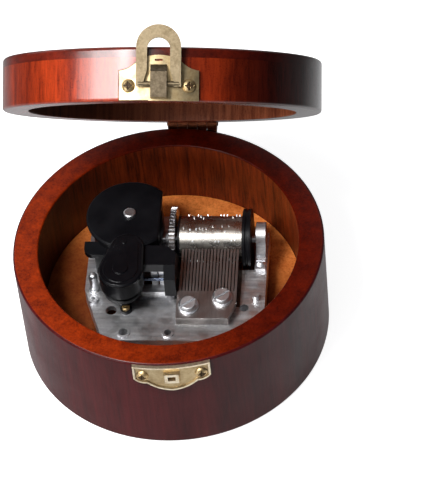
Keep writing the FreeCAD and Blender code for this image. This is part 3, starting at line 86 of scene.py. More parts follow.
class Sketch:
    """Adds nodes to one node tree and joins them."""

    def __init__(self, tree: bpy.types.NodeTree) -> None:
        """Empty the tree and keep it."""
        self.tree = tree
        tree.nodes.clear()

    def add(self, kind: str, options: dict | None = None, inputs: dict | None = None) -> bpy.types.Node:
        """Add one node.

        Args:
            kind: the node's type name without the leading "ShaderNode".
            options: settings of the node itself.
            inputs: value or output socket for each input, by name or by place.

        Returns:
            The new node.
        """
        prefix = "" if kind.startswith("NodeGroup") else "ShaderNode"
        node = self.tree.nodes.new(prefix + kind)
        for key, value in (options or {}).items():
            setattr(node, key, value)
        for key, value in (inputs or {}).items():
            if isinstance(value, bpy.types.NodeSocket):
                self.tree.links.new(value, node.inputs[key])
            else:
                node.inputs[key].default_value = value
        return node

    def maths(self, operation: str, first: Value, second: Value = 0.0,
              clamp: bool = False) -> bpy.types.NodeSocket:
        """Add a Math node and give its output."""
        node = self.add("Math", {"operation": operation, "use_clamp": clamp}, {0: first, 1: second})
        return node.outputs[0]

    def plus(self, first: Value, second: Value, clamp: bool = False) -> bpy.types.NodeSocket:
        """Sum of two values."""
        return self.maths("ADD", first, second, clamp)

    def minus(self, first: Value, second: Value, clamp: bool = False) -> bpy.types.NodeSocket:
        """Difference of two values."""
        return self.maths("SUBTRACT", first, second, clamp)

    def times(self, first: Value, second: Value) -> bpy.types.NodeSocket:
        """Product of two values."""
        return self.maths("MULTIPLY", first, second)

    def squeezed(self, vector: Place, factors: Place) -> bpy.types.NodeSocket:
        """Vector whose parts are multiplied by factors, which draws a pattern out along the smallest."""
        return self.add("VectorMath", {"operation": "MULTIPLY"}, {0: vector, 1: factors}).outputs[0]

    def mix(self, share: Value, first: Paint, second: Paint) -> bpy.types.NodeSocket:
        """Mix two colours by a share and give the outcome."""
        node = self.add("Mix", {"data_type": "RGBA"}, {0: share, 6: first, 7: second})
        return node.outputs[2]

    def noise(self, vector: Place, scale: Value, detail: float = 4.0,
              rough: float = 0.55) -> bpy.types.NodeSocket:
        """Add fractal noise and give its value."""
        node = self.add("TexNoise", {"noise_dimensions": "3D"},
                        {"Vector": vector, "Scale": scale, "Detail": detail, "Roughness": rough})
        return node.outputs[0]

    def ramp(self, value: Value, low: Value, high: Value, start: float = 0.0, end: float = 1.0,
             kind: str = "LINEAR") -> bpy.types.NodeSocket:
        """Turn the range low to high into start to end, clamped."""
        node = self.add("MapRange", {"clamp": True, "interpolation_type": kind}, {
            "Value": value, "From Min": low, "From Max": high, "To Min": start, "To Max": end})
        return node.outputs[0]


class Effect:
    """A shader node group with named sockets that several finishes share."""

    def __init__(self, name: str, inputs: Sequence[tuple[str, str, object]],
                 outputs: Sequence[tuple[str, str]]) -> None:
        """Make the empty group.

        Args:
            name: name of the group.
            inputs: name, socket type and default of each input.
            outputs: name and socket type of each output.
        """
        self.tree = bpy.data.node_groups.new(name, "ShaderNodeTree")
        for label, kind, default in inputs:
            socket = self.tree.interface.new_socket(label, in_out="INPUT", socket_type=kind)
            if default is not None:
                socket.default_value = default
        for label, kind in outputs:
            self.tree.interface.new_socket(label, in_out="OUTPUT", socket_type=kind)
        self.sketch = Sketch(self.tree)
        self.source = self.sketch.add("NodeGroupInput").outputs
        self.sink = self.sketch.add("NodeGroupOutput").inputs

    def give(self, label: str, socket: bpy.types.NodeSocket) -> None:
        """Join a socket to one output of the group."""
        self.tree.links.new(socket, self.sink[label])

    def place(self, sketch: Sketch, inputs: dict) -> bpy.types.Node:
        """Put the group into a material and set its inputs."""
        return sketch.add("Group", {"node_tree": self.tree}, inputs)


FLOAT, COLOUR, VECTOR = "NodeSocketFloat", "NodeSocketColor", "NodeSocketVector"


def grain_effect() -> Effect:
    """Wood whose fibres run along local Z: streaks on the sides, pores and specks on the ends."""
    effect = Effect("wood_grain", [
        ("Vector", VECTOR, None), ("Dark", COLOUR, None), ("Light", COLOUR, None),
        ("Fibre Scale", FLOAT, 900.0), ("Stretch", FLOAT, 14.0), ("Band Scale", FLOAT, 120.0),
        ("Speckle", FLOAT, 0.3), ("Band", FLOAT, 0.4),
    ], [("Color", COLOUR), ("Height", FLOAT), ("Mask", FLOAT)])
    s, given = effect.sketch, effect.source
    thin = s.maths("DIVIDE", 1.0, given["Stretch"])
    squeeze = s.add("CombineXYZ", inputs={"X": 1.0, "Y": 1.0, "Z": thin})
    along = s.squeezed(given["Vector"], squeeze.outputs[0])
    fibres = s.noise(along, given["Fibre Scale"], 5.0, 0.62)
    coarse = s.noise(along, s.times(given["Fibre Scale"], 0.33), 3.0, 0.5)
    bands = s.noise(along, given["Band Scale"], 3.0, 0.5)
    specks = s.noise(given["Vector"], s.times(given["Fibre Scale"], 2.2), 2.0, 0.5)
    streak = s.ramp(s.plus(s.times(fibres, 0.6), s.times(coarse, 0.4)), 0.36, 0.64)
    band = s.ramp(bands, 0.36, 0.66)
    mixed = s.mix(given["Band"], streak, band)
    pores = s.ramp(specks, 0.52, 0.70)
    share = s.minus(mixed, s.times(pores, given["Speckle"]), clamp=True)
    effect.give("Color", s.mix(share, given["Dark"], given["Light"]))
    effect.give("Height", s.plus(fibres, s.times(pores, -0.6)))
    effect.give("Mask", share)
    return effect


def smudge_effect() -> Effect:
    """Handling marks: soft patches between two roughness values, with fine dust on top."""
    effect = Effect("smudges", [
        ("Vector", VECTOR, None), ("Scale", FLOAT, 90.0), ("Low", FLOAT, 0.2), ("High", FLOAT, 0.35),
    ], [("Value", FLOAT), ("Mask", FLOAT)])
    s, given = effect.sketch, effect.source
    patches = s.ramp(s.noise(given["Vector"], given["Scale"], 4.0, 0.6), 0.35, 0.68)
    dust = s.ramp(s.noise(given["Vector"], s.times(given["Scale"], 14.0), 2.0), 0.58, 0.72)
    mask = s.plus(s.times(patches, 0.8), s.times(dust, 0.35), clamp=True)
    spread = s.minus(given["High"], given["Low"])
    effect.give("Value", s.plus(given["Low"], s.times(spread, mask)))
    effect.give("Mask", mask)
    return effect


def brush_effect() -> Effect:
    """Fine lines left by rolling, turning or polishing, and the wear and stains between them."""
    effect = Effect("tool_marks", [
        ("Vector", VECTOR, None), ("Squeeze", VECTOR, (1.0, 1.0, 1.0)), ("Scale", FLOAT, 1500.0),
        ("Stain Scale", FLOAT, 160.0), ("Clean", COLOUR, None), ("Stained", COLOUR, None),
    ], [("Color", COLOUR), ("Height", FLOAT), ("Mask", FLOAT)])
    s, given = effect.sketch, effect.source
    along = s.squeezed(given["Vector"], given["Squeeze"])
    lines = s.noise(along, given["Scale"], 3.0, 0.6)
    stains = s.ramp(s.noise(given["Vector"], given["Stain Scale"], 5.0, 0.65), 0.38, 0.66)
    mask = s.plus(s.times(s.ramp(lines, 0.35, 0.65), 0.45), s.times(stains, 0.55))
    effect.give("Color", s.mix(mask, given["Clean"], given["Stained"]))
    effect.give("Height", lines)
    effect.give("Mask", mask)
    return effect


def shade_gradient_effect() -> Effect:
    """Painted shade: how far a piece is darkened, away from its palest line across it, where light falls off.
    """
    effect = Effect("painted_shade_gradient", [
        ("Vector", VECTOR, None), ("Direction", VECTOR, (1.0, 0.0, 0.0)), ("Middle", FLOAT, 0.0),
        ("Low", FLOAT, 0.0), ("High", FLOAT, 0.04), ("Wobble", FLOAT, 0.02),
    ], [("Mask", FLOAT)])
    s, given = effect.sketch, effect.source
    along = s.add("VectorMath", {"operation": "DOT_PRODUCT"}, {0: given["Vector"], 1: given["Direction"]})
    away = s.maths("ABSOLUTE", s.minus(along.outputs["Value"], given["Middle"]))
    clouds = s.times(s.minus(s.noise(given["Vector"], 45.0, 3.0), 0.5), given["Wobble"])
    effect.give("Mask", s.ramp(s.plus(away, clouds), given["Low"], given["High"], kind="SMOOTHSTEP"))
    return effect


def scratch_effect() -> Effect:
    """Sparse thin scratches that cross in two directions."""
    effect = Effect("scratches", [("Vector", VECTOR, None), ("Scale", FLOAT, 260.0)],
                    [("Mask", FLOAT)])
    s, given = effect.sketch, effect.source
    masks = []
    for angle, squeeze in ((0.5, 0.05), (-0.8, 0.07)):
        turned = s.add("Mapping", inputs={"Vector": given["Vector"], "Rotation": (0.0, 0.0, angle),
                                          "Scale": (squeeze, 1.0, 1.0)}).outputs[0]
        lines = s.noise(turned, given["Scale"], 3.0, 0.75)
        masks.append(s.ramp(lines, 0.60, 0.66))
    effect.give("Mask", s.maths("MAXIMUM", masks[0], masks[1]))
    return effect


# ---- finishes ------------------------------------------------------------------------------------


class Effects:
    """The shared effects, built once."""

    def __init__(self) -> None:
        """Build every group."""
        self.grain = grain_effect()
        self.smudges = smudge_effect()
        self.brush = brush_effect()
        self.scratches = scratch_effect()
        self.shade_gradient = shade_gradient_effect()


def fresh_material(name: str) -> tuple[bpy.types.Material, Sketch, bpy.types.NodeSocket]:
    """Make a node material.

    Args:
        name: name of the material.

    Returns:
        The material, the sketch of its tree and the object coordinates.
    """
    material = bpy.data.materials.new(name)
    material.use_nodes = True
    sketch = Sketch(material.node_tree)
    place = sketch.add("TexCoord").outputs["Object"]
    return material, sketch, place


def close_material(sketch: Sketch, sockets: dict, height: Value, depth: float, reach: float) -> None:
    """Add the surface shader and the output.

    Args:
        sketch: the material's tree.
        sockets: inputs of the surface shader.
        height: socket that lifts the surface.
        depth: how far the height lifts it, in metres.
        reach: strength of the bump.
    """
    shader = sketch.add("BsdfPrincipled", inputs=sockets)
    bump = sketch.add("Bump", inputs={"Height": height, "Distance": depth, "Strength": reach})
    sketch.tree.links.new(bump.outputs[0], shader.inputs["Normal"])
    output = sketch.add("OutputMaterial")
    sketch.tree.links.new(shader.outputs[0], output.inputs[0])


def rgba(colour: Colour) -> tuple[float, float, float, float]:
    """Colour with full alpha."""
    return (*colour, 1.0)


@dataclass(frozen=True)
class WoodFinish:
    """Stained and lacquered wood, with fibres along local Z once it is turned."""

    name: str
    dark: Colour
    light: Colour
    # The next six fields paint shade: away from a lit line across the piece the colour is darkened and
    # tinted, where light falls off.
    shade_tone: float = 1.0
    shade_tint: Colour = (1.0, 1.0, 1.0)
    shade_across: tuple[float, float, float] = (1.0, 0.0, 0.0)
    lit_line: float = 0.0
    shade_start: float = 0.0
    shade_full: float = 0.045
    fibre_scale: float = 900.0
    stretch: float = 14.0
    band_scale: float = 120.0
    band: float = 0.4
    speckle: float = 0.3
    roughness: float = 0.42
    specular: float = 0.5
    coat: float = 0.9
    coat_roughness: float = 0.09
    coat_ior: float = 1.5
    turn: float = 0.0
    depth: float = 0.00005

    def build(self, effects: Effects) -> bpy.types.Material:
        """Make the material."""
        material, s, place = fresh_material(self.name)
        turned = s.add("Mapping", {"vector_type": "POINT"},
                       {"Vector": place, "Rotation": (self.turn, 0.0, 0.0)}).outputs[0]
        grain = effects.grain.place(s, {
            "Vector": turned, "Dark": rgba(self.dark), "Light": rgba(self.light),
            "Fibre Scale": self.fibre_scale, "Stretch": self.stretch, "Speckle": self.speckle,
            "Band Scale": self.band_scale, "Band": self.band,
        })
        colour = grain.outputs["Color"]
        # Painted shade: darker away from the lit line across the piece.
        if self.shade_tone < 1.0:
            shade_gradient = effects.shade_gradient.place(s, {
                "Vector": place, "Direction": self.shade_across, "Middle": self.lit_line, "Low": self.shade_start,
                "High": self.shade_full})
            shade_colour = rgba(tuple(self.shade_tone * tone for tone in self.shade_tint))
            tone = s.mix(shade_gradient.outputs["Mask"], WHITE, shade_colour)
            colour = s.add("Mix", {"data_type": "RGBA", "blend_type": "MULTIPLY"},
                           {0: 1.0, 6: colour, 7: tone}).outputs[2]
        rough = effects.smudges.place(s, {"Vector": place, "Low": self.roughness - 0.06,
                                          "High": self.roughness + 0.08})
        close_material(s, {
            "Base Color": colour, "Roughness": rough.outputs["Value"], "Specular IOR Level": self.specular,
            "Coat Weight": self.coat, "Coat Roughness": self.coat_roughness, "Coat IOR": self.coat_ior,
        }, grain.outputs["Height"], self.depth, 0.5)
        return material


@dataclass(frozen=True)
class MetalFinish:
    """Bare or plated metal with the marks of its making."""

    name: str
    clean: Colour
    stained: Colour
    low: float
    high: float
    squeeze: tuple[float, float, float] = (1.0, 1.0, 1.0)
    scale: float = 1500.0
    stain_scale: float = 160.0
    depth: float = 0.00001
    scratched: float = 0.0

    def build(self, effects: Effects) -> bpy.types.Material:
        """Make the material."""
        material, s, place = fresh_material(self.name)
        marks = effects.brush.place(s, {
            "Vector": place, "Squeeze": self.squeeze, "Scale": self.scale, "Stain Scale": self.stain_scale,
            "Clean": rgba(self.clean), "Stained": rgba(self.stained),
        })
        rough = effects.smudges.place(s, {"Vector": place, "Scale": self.stain_scale, "Low": self.low,
                                          "High": self.high})
        colour, value = marks.outputs["Color"], rough.outputs["Value"]
        if self.scratched > 0:
            scratches = effects.scratches.place(s, {"Vector": place})
            share = s.times(scratches.outputs["Mask"], self.scratched)
            colour = s.mix(share, colour, (0.95, 0.96, 0.98, 1.0))
            value = s.plus(value, s.times(share, 0.25), clamp=True)
        close_material(s, {"Base Color": colour, "Roughness": value, "Metallic": 1.0},
                       marks.outputs["Height"], self.depth, 0.6)
        return material


@dataclass(frozen=True)
class PlasticFinish:
    """Moulded black plastic, or the dull dark colour of grime and painted shade along an edge and in a slot.
    """

    name: str
    colour: Colour
    dusty: Colour
    low: float = 0.28
    high: float = 0.42
    specular: float = 0.5
    grain: float = 2600.0
    depth: float = 0.00001

    def build(self, effects: Effects) -> bpy.types.Material:
        """Make the material."""
        material, s, place = fresh_material(self.name)
        rough = effects.smudges.place(s, {"Vector": place, "Scale": 140.0, "Low": self.low,
                                          "High": self.high})
        colour = s.mix(s.times(rough.outputs["Mask"], 0.5), rgba(self.colour), rgba(self.dusty))
        skin = s.noise(place, self.grain, 2.0)
        close_material(s, {"Base Color": colour, "Roughness": rough.outputs["Value"],
                           "Specular IOR Level": self.specular}, skin, self.depth, 0.5)
        return material


class Finishes:
    """Every finish of the box, built once, by name."""

    WOOD = (
        WoodFinish("wall_outside", (0.034, 0.0024, 0.0030), (0.092, 0.0068, 0.0082), speckle=0.15,
                   specular=0.1, coat=0.17, coat_roughness=0.2, fibre_scale=1200.0),
        # Painted shade: the rim darkens towards the right and the back.
        WoodFinish("wall_rim", (0.105, 0.008, 0.0005), (0.33, 0.031, 0.0024), shade_tone=0.36,
                   shade_tint=(1.0, 0.62, 1.0), shade_across=(0.85, 0.5, 0.0), lit_line=-0.05, shade_start=0.018,
                   shade_full=0.06, fibre_scale=1300.0, stretch=5.0, band_scale=260.0, band=0.35, speckle=0.35,
                   specular=0.1, coat=0.14, coat_roughness=0.25),
        # Painted shade: the inside darkens towards the left, where the wall is in shadow.
        WoodFinish("wall_inside", (0.036, 0.0034, 0.0005), (0.29, 0.040, 0.006), shade_tone=0.35, lit_line=0.04,
                   shade_start=0.045, shade_full=0.076, stretch=16.0, specular=0.2, fibre_scale=2000.0,
                   band_scale=300.0, band=0.2, speckle=0.4, coat=0.15, coat_roughness=0.25, roughness=0.5),
        # Painted shade: the floor darkens away from the back, most to the left and the front.
        WoodFinish("floor_wood", (0.55, 0.13, 0.022), (1.0, 0.34, 0.080), shade_tone=0.22,
                   shade_tint=(1.0, 0.7, 0.5), shade_across=(0.25, 1.0, 0.0),
                   lit_line=0.036, shade_start=0.010, shade_full=0.034, fibre_scale=1100.0, stretch=1.0,
                   band_scale=150.0, band=0.35, speckle=0.4, specular=0.2, coat=0.05, coat_roughness=0.3,
                   roughness=0.55),
        # Painted shade on the floor board under the movement.
        WoodFinish("floor_painted_shade", (0.10, 0.020, 0.004), (0.20, 0.050, 0.012), fibre_scale=1100.0, stretch=1.0,
                   specular=0.1, coat=0.0, roughness=0.7),
        # Painted shade: the lid darkens away from a line left of its middle, most towards its right end.
        WoodFinish("lid_outside", (0.11, 0.0065, 0.0010), (0.50, 0.050, 0.008), shade_tone=0.10,
                   shade_tint=(1.0, 0.6, 0.7), lit_line=-0.013, shade_start=0.003, shade_full=0.050,
                   turn=LID_ANGLE, speckle=0.35, fibre_scale=1500.0, stretch=9.0, band_scale=230.0, band=0.35,
                   specular=0.1, coat=0.88, coat_roughness=0.2),
        # The top board's own darker colour, with the same painted shade as the side.
        WoodFinish("lid_top", (0.055, 0.005, 0.002), (0.19, 0.016, 0.005), shade_tone=0.25,
                   shade_tint=(1.0, 0.6, 0.7), lit_line=-0.013, shade_start=0.003, shade_full=0.050,
                   turn=LID_ANGLE + math.pi / 2, speckle=0.3, fibre_scale=900.0, stretch=9.0, specular=0.1,
                   coat=0.88, coat_roughness=0.2),
        # Painted shade: the inside of the lid darkens towards the left.
        WoodFinish("lid_inside", (0.15, 0.032, 0.012), (0.70, 0.21, 0.09), shade_tone=0.16, lit_line=0.048,
                   shade_start=0.012, shade_full=0.075, turn=LID_ANGLE, stretch=16.0, fibre_scale=1500.0,
                   band_scale=300.0, band=0.3, specular=0.2, coat=0.1, coat_roughness=0.3, roughness=0.5),
    )
    METAL = (
        MetalFinish("brass", (0.58, 0.46, 0.27), (0.40, 0.28, 0.14), 0.36, 0.56, stain_scale=420.0,
                    depth=0.000006),
        # A darker copy of the plate's brass, painted shade for the loop.
        MetalFinish("brass_loop", (0.36, 0.285, 0.18), (0.17, 0.125, 0.07), 0.36, 0.52, stain_scale=380.0),
        # Darker brass for the hasp's strap: partly wear, partly painted shade.
        MetalFinish("brass_worn_and_shaded", (0.19, 0.15, 0.10), (0.075, 0.055, 0.034), 0.40, 0.60, stain_scale=700.0),
        # Brighter brass for the strike plate's knob, border and up-facing faces: a painted highlight.
        MetalFinish("brass_painted_highlight", (0.95, 0.85, 0.66), (0.60, 0.48, 0.30), 0.34, 0.50, stain_scale=500.0),
        MetalFinish("brass_screws", (0.80, 0.62, 0.34), (0.50, 0.33, 0.15), 0.40, 0.55, stain_scale=500.0),
        # Dark antique brass for the hinge, partly its own finish and partly painted shade.
        MetalFinish("antique_brass", (0.22, 0.07, 0.035), (0.09, 0.025, 0.012), 0.30, 0.50),
        MetalFinish("zinc", (1.0, 1.0, 1.0), (0.40, 0.40, 0.43), 0.34, 0.60, (0.12, 1.0, 1.0),
                    1300.0, 240.0, 0.00002, 0.5),
        MetalFinish("comb_steel", (0.52, 0.49, 0.48), (0.30, 0.28, 0.275), 0.30, 0.44, (1.0, 0.06, 1.0),
                    1800.0),
        # Dark metal that paints shade: under the comb, on its front edge and pad, on the bedplate's screws
        # and between the wheel's teeth.
        MetalFinish("dark_metal", (0.14, 0.125, 0.12), (0.05, 0.045, 0.04), 0.35, 0.50),
        MetalFinish("bright_steel", (0.97, 0.98, 1.0), (0.78, 0.80, 0.84), 0.32, 0.48),
        MetalFinish("nickel", (0.78, 0.75, 0.70), (0.40, 0.36, 0.31), 0.18, 0.42, (0.08, 1.0, 1.0),
                    1700.0, 300.0),
        MetalFinish("gear_metal", (0.62, 0.62, 0.64), (0.32, 0.31, 0.32), 0.22, 0.40),
        MetalFinish("spring_steel", (0.20, 0.24, 0.32), (0.10, 0.12, 0.18), 0.20, 0.35),
    )
    PLASTIC = (
        # Dark edge and slot colour: partly grime, partly painted shade.
        PlasticFinish("grime_and_shade", (0.05, 0.028, 0.014), (0.10, 0.06, 0.03), 0.5, 0.6, 0.1),
        PlasticFinish("black_plastic", (0.003, 0.003, 0.004), (0.008, 0.008, 0.010), 0.30, 0.46, 0.2),
        PlasticFinish("black_cover", (0.003, 0.003, 0.004), (0.008, 0.008, 0.010), 0.16, 0.28, 0.5),
    )

    def __init__(self) -> None:
        """Build the effects and the materials."""
        effects = Effects()
        self.materials = {f.name: f.build(effects) for f in (*self.WOOD, *self.METAL, *self.PLASTIC)}

    def __getitem__(self, name: str) -> bpy.types.Material:
        """Material of that name."""
        return self.materials[name]


# ---- modelling helpers ---------------------------------------------------------------------------


def soften(bm: bmesh.types.BMesh, width: float) -> None:
    """Bevel the sharp edges.

    Args:
        bm: mesh to change.
        width: width of the bevel in millimetres.
    """
    sharp = [e for e in bm.edges if len(e.link_faces) == 2 and e.calc_face_angle(0.0) > SHARP]
    if sharp:
        bmesh.ops.bevel(bm, geom=sharp, offset=width * MM, offset_type="OFFSET", segments=SOFT_FACES,
                        profile=0.5, affect="EDGES", clamp_overlap=True, material=-1)


def add_object(name: str, data: bpy.types.ID) -> bpy.types.Object:
    """Put an object with this mesh, lamp or camera into the scene."""
    item = bpy.data.objects.new(name, data)
    bpy.context.scene.collection.objects.link(item)
    return item


def cut_area(bm: bmesh.types.BMesh, low: tuple[float, float], high: tuple[float, float]) -> None:
    """Cut faces along the four sides of an upright box, so that its inside can have its own finish.

    Args:
        bm: mesh to change.
        low: smallest x and y of the box in millimetres.
        high: largest x and y of the box in millimetres.
    """
    for axis, normal in ((0, Vector((1.0, 0.0, 0.0))), (1, Vector((0.0, 1.0, 0.0)))):
        for corner in (low, high):
            bmesh.ops.bisect_plane(bm, geom=[*bm.verts, *bm.edges, *bm.faces], dist=1e-7,
                                   plane_co=normal * (corner[axis] * MM), plane_no=normal)


def within(place: Vector, low: tuple[float, float], high: tuple[float, float]) -> bool:
    """Whether a place lies between two corners, seen from above."""
    return low[0] < place.x < high[0] and low[1] < place.y < high[1]


def smooth_by_area(mesh: bpy.types.Mesh) -> None:
    """Shade a mesh smooth so that its large flat faces stay flat beside their softened edges."""
    mesh.shade_smooth()
    limit = math.cos(CREASE)
    normals = [face.normal.copy() for face in mesh.polygons]
    weights = [face.area ** 2 for face in mesh.polygons]
    around: list[list[int]] = [[] for _ in mesh.vertices]
    for face in mesh.polygons:
        for corner in face.vertices:
            around[corner].append(face.index)
    custom = []
    for face in mesh.polygons:
        own = normals[face.index]
        for corner in face.vertices:
            total = Vector((0.0, 0.0, 0.0))
            for other in around[corner]:
                if normals[other].dot(own) > limit:
                    total += normals[other] * weights[other]
            custom.append(total.normalized() if total.length > 0.0 else own)
    mesh.normals_split_custom_set(custom)


@dataclass
class Assembly:
    """A group of pieces that ride on one body unless told otherwise."""

    finishes: Finishes
    part: Part
    made: list[str] = field(default_factory=list)

    def settle(self, name: str, bm: bmesh.types.BMesh, finish: str | Sequence[str], slot: str,
               node: str, part: Part | None = None) -> None:
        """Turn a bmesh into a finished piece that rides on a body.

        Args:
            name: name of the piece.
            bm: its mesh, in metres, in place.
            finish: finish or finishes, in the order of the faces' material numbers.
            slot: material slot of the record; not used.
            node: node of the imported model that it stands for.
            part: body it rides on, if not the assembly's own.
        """
        bmesh.ops.recalc_face_normals(bm, faces=bm.faces)
        mesh = bpy.data.meshes.new(name)
        bm.to_mesh(mesh)
        bm.free()
        smooth_by_area(mesh)
        for label in ([finish] if isinstance(finish, str) else finish):
            mesh.materials.append(self.finishes[label])
        piece = add_object(name, mesh)
        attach(piece, (part or self.part).value)
        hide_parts(node)
        self.made.append(name)

    def refine(self, node: str, finish: str | Sequence[str], slot: str, width: float = 0.12,
               part: Part | None = None, paint: Callable[[bmesh.types.BMFace], int] | None = None,
               shape: Callable[[bmesh.types.BMesh], None] | None = None) -> None:
        """Stand a copy of a node with softened edges in its place.

        Args:
            node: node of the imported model.
            finish: its finish or finishes.
            slot: material slot of the record.
            width: width of the softened edges in millimetres.
            part: body it rides on, if not the assembly's own.
            paint: gives the number of each face's finish.
            shape: changes the mesh before its edges are softened.
        """
        bm = bmesh.new()
        bm.from_mesh(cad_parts[node].data)
        bmesh.ops.remove_doubles(bm, verts=bm.verts, dist=2e-7)
        bmesh.ops.dissolve_limit(bm, angle_limit=FLAT, use_dissolve_boundaries=False,
                                 verts=bm.verts, edges=bm.edges, delimit={"NORMAL"})
        if shape is not None:
            shape(bm)
        soften(bm, width)
        if paint is not None:
            bm.normal_update()
            for face in bm.faces:
                face.material_index = paint(face)
        self.settle(node + "_finished", bm, finish, slot, node, part)

    def dress(self, node: str, finish: str) -> None:
        """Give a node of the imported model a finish, with its mesh as it is."""
        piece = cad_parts[node]
        piece.data.materials.clear()
        piece.data.materials.append(self.finishes[finish])
        self.made.append(node)

    def report(self) -> None:
        """Log what was made."""
        LOG.info("%s: %s", type(self).__name__, ", ".join(self.made))


def turned_shape(profile: Sequence[tuple[float, float]], steps: int) -> bmesh.types.BMesh:
    """Spin an (r, z) outline, in millimetres, round the upright axis.

    Args:
        profile: corners of the outline; it is closed from the last to the first if both are off the axis.
        steps: faces round the axis.

    Returns:
        The closed, turned mesh.
    """
    bm = bmesh.new()
    verts = [bm.verts.new((r * MM, 0.0, z * MM)) for r, z in profile]
    edges = [bm.edges.new(pair) for pair in zip(verts, verts[1:])]
    if profile[0][0] > 0 and profile[-1][0] > 0:
        edges.append(bm.edges.new((verts[-1], verts[0])))
    bmesh.ops.spin(bm, geom=[*verts, *edges], cent=(0, 0, 0), axis=(0, 0, 1), dvec=(0, 0, 0),
                   angle=math.tau, steps=steps, use_merge=True, use_duplicate=False)
    bmesh.ops.remove_doubles(bm, verts=bm.verts, dist=1e-6)
    bmesh.ops.recalc_face_normals(bm, faces=bm.faces)
    return bm


def rounded(corners: Sequence[tuple[float, float, float]], steps: int = 4) -> list[tuple[float, float]]:
    """Round the corners of an outline.

    Args:
        corners: (r, z, radius) of each corner, radius 0 for a sharp one.
        steps: points along each arc.

    Returns:
        Points of the rounded outline.
    """
    points: list[tuple[float, float]] = []
    count = len(corners)
    for index, (r, z, radius) in enumerate(corners):
        here = Vector((r, z))
        if radius <= 0:
            points.append((r, z))
            continue
        before = (Vector(corners[index - 1][:2]) - here).normalized()
        after = (Vector(corners[(index + 1) % count][:2]) - here).normalized()
        half = before.angle(after) / 2
        reach = radius / math.tan(half)
        centre = here + (before + after).normalized() * (radius / math.sin(half))
        start = (here + before * reach - centre).normalized()
        end = (here + after * reach - centre).normalized()
        for step in range(steps + 1):
            points.append(tuple(centre + start.slerp(end, step / steps) * radius))
    return points


# ---- wood ----------------------------------------------------------------------------------------


@dataclass
class WoodenBox(Assembly):
    """Turned wall with its ledge, and the floor board."""

    radius: float = 43.0
    bore: float = 36.0
    ledge_bore: float = 33.0
    height: float = 34.0
    ledge_top: float = 10.0
    edge: float = 0.8
    inner_edge: float = 0.45
    steps: int = 192
    ledge_edge: float = 0.4
    rounding_outside: float = 0.7
    shade_low: tuple[float, float] = (-22.0, -20.0)
    shade_high: tuple[float, float] = (23.0, 24.0)

    def wall(self) -> None:
        """The wall, with its own finish outside, on the rim and inside."""
        outline = rounded([
            (self.radius, 0.0, self.edge), (self.radius, self.height, self.edge),
            (self.bore, self.height, self.inner_edge), (self.bore, self.ledge_top, 0.0),
            (self.ledge_bore, self.ledge_top, 0.0), (self.ledge_bore, 0.0, self.ledge_edge),
        ])
        bm = turned_shape(outline, self.steps)
        middle = (self.radius + self.bore) / 2
        for face in bm.faces:
            centre = face.calc_center_median() / MM
            distance = math.hypot(centre.x, centre.y)
            if distance > self.radius - self.edge * self.rounding_outside:
                face.material_index = 0
            elif centre.z > self.height - self.edge and distance > self.bore:
                face.material_index = 1
            elif distance < middle:
                face.material_index = 2
        self.settle("wall", bm, ("wall_outside", "wall_rim", "wall_inside"), "wood_wall", "box_ring")

    def cut_shade(self, bm: bmesh.types.BMesh) -> None:
        """Cut the floor board's faces round the area under the movement, which gets painted shade."""
        cut_area(bm, self.shade_low, self.shade_high)

    def paint_floor(self, face: bmesh.types.BMFace) -> int:
        """Finish of a face of the floor board: 1, painted shade, under the movement."""
        return 1 if within(face.calc_center_median() / MM, self.shade_low, self.shade_high) else 0

    def build(self) -> None:
        """Make the wall and the floor board."""
        self.wall()
        self.refine("floor_board", ("floor_wood", "floor_painted_shade"), "wood_floor", 0.1, paint=self.paint_floor,
                    shape=self.cut_shade)


@dataclass
class Lid(Assembly):
    """Turned lid with its darker top board, drawn open."""

    radius: float = 43.0
    bore: float = 36.0
    low: float = 34.3
    high: float = 48.3
    cavity_top: float = 43.3
    edge: float = 0.8
    top_edge: float = 0.9
    seam: float = 45.6
    cavity_edge: float = 0.6
    bore_edge: float = 0.4
    bore_reach: float = 0.2
    top_reach: float = 1.0
    steps: int = 192

    def build(self) -> None:
        """Make the lid."""
        outline = rounded([
            (self.bore, self.cavity_top, self.cavity_edge), (self.bore, self.low, self.bore_edge),
            (self.radius, self.low, self.edge), (self.radius, self.seam, 0.0),
            (self.radius, self.high, self.top_edge), (0.0, self.high, 0.0),
        ], 5)
        bm = turned_shape([(0.0, self.cavity_top)] + outline, self.steps)
        for face in bm.faces:
            centre = face.calc_center_median() / MM
            distance = math.hypot(centre.x, centre.y)
            if distance < self.bore + self.bore_reach and centre.z < self.high - self.top_reach:
                face.material_index = 1
            elif centre.z > self.seam:
                face.material_index = 2
        bmesh.ops.rotate(bm, verts=bm.verts, cent=HINGE_AXIS, matrix=Matrix.Rotation(-LID_ANGLE, 4, "X"))
        self.settle("lid", bm, ("lid_outside", "lid_inside", "lid_top"), "wood_lid", "lid_shell")


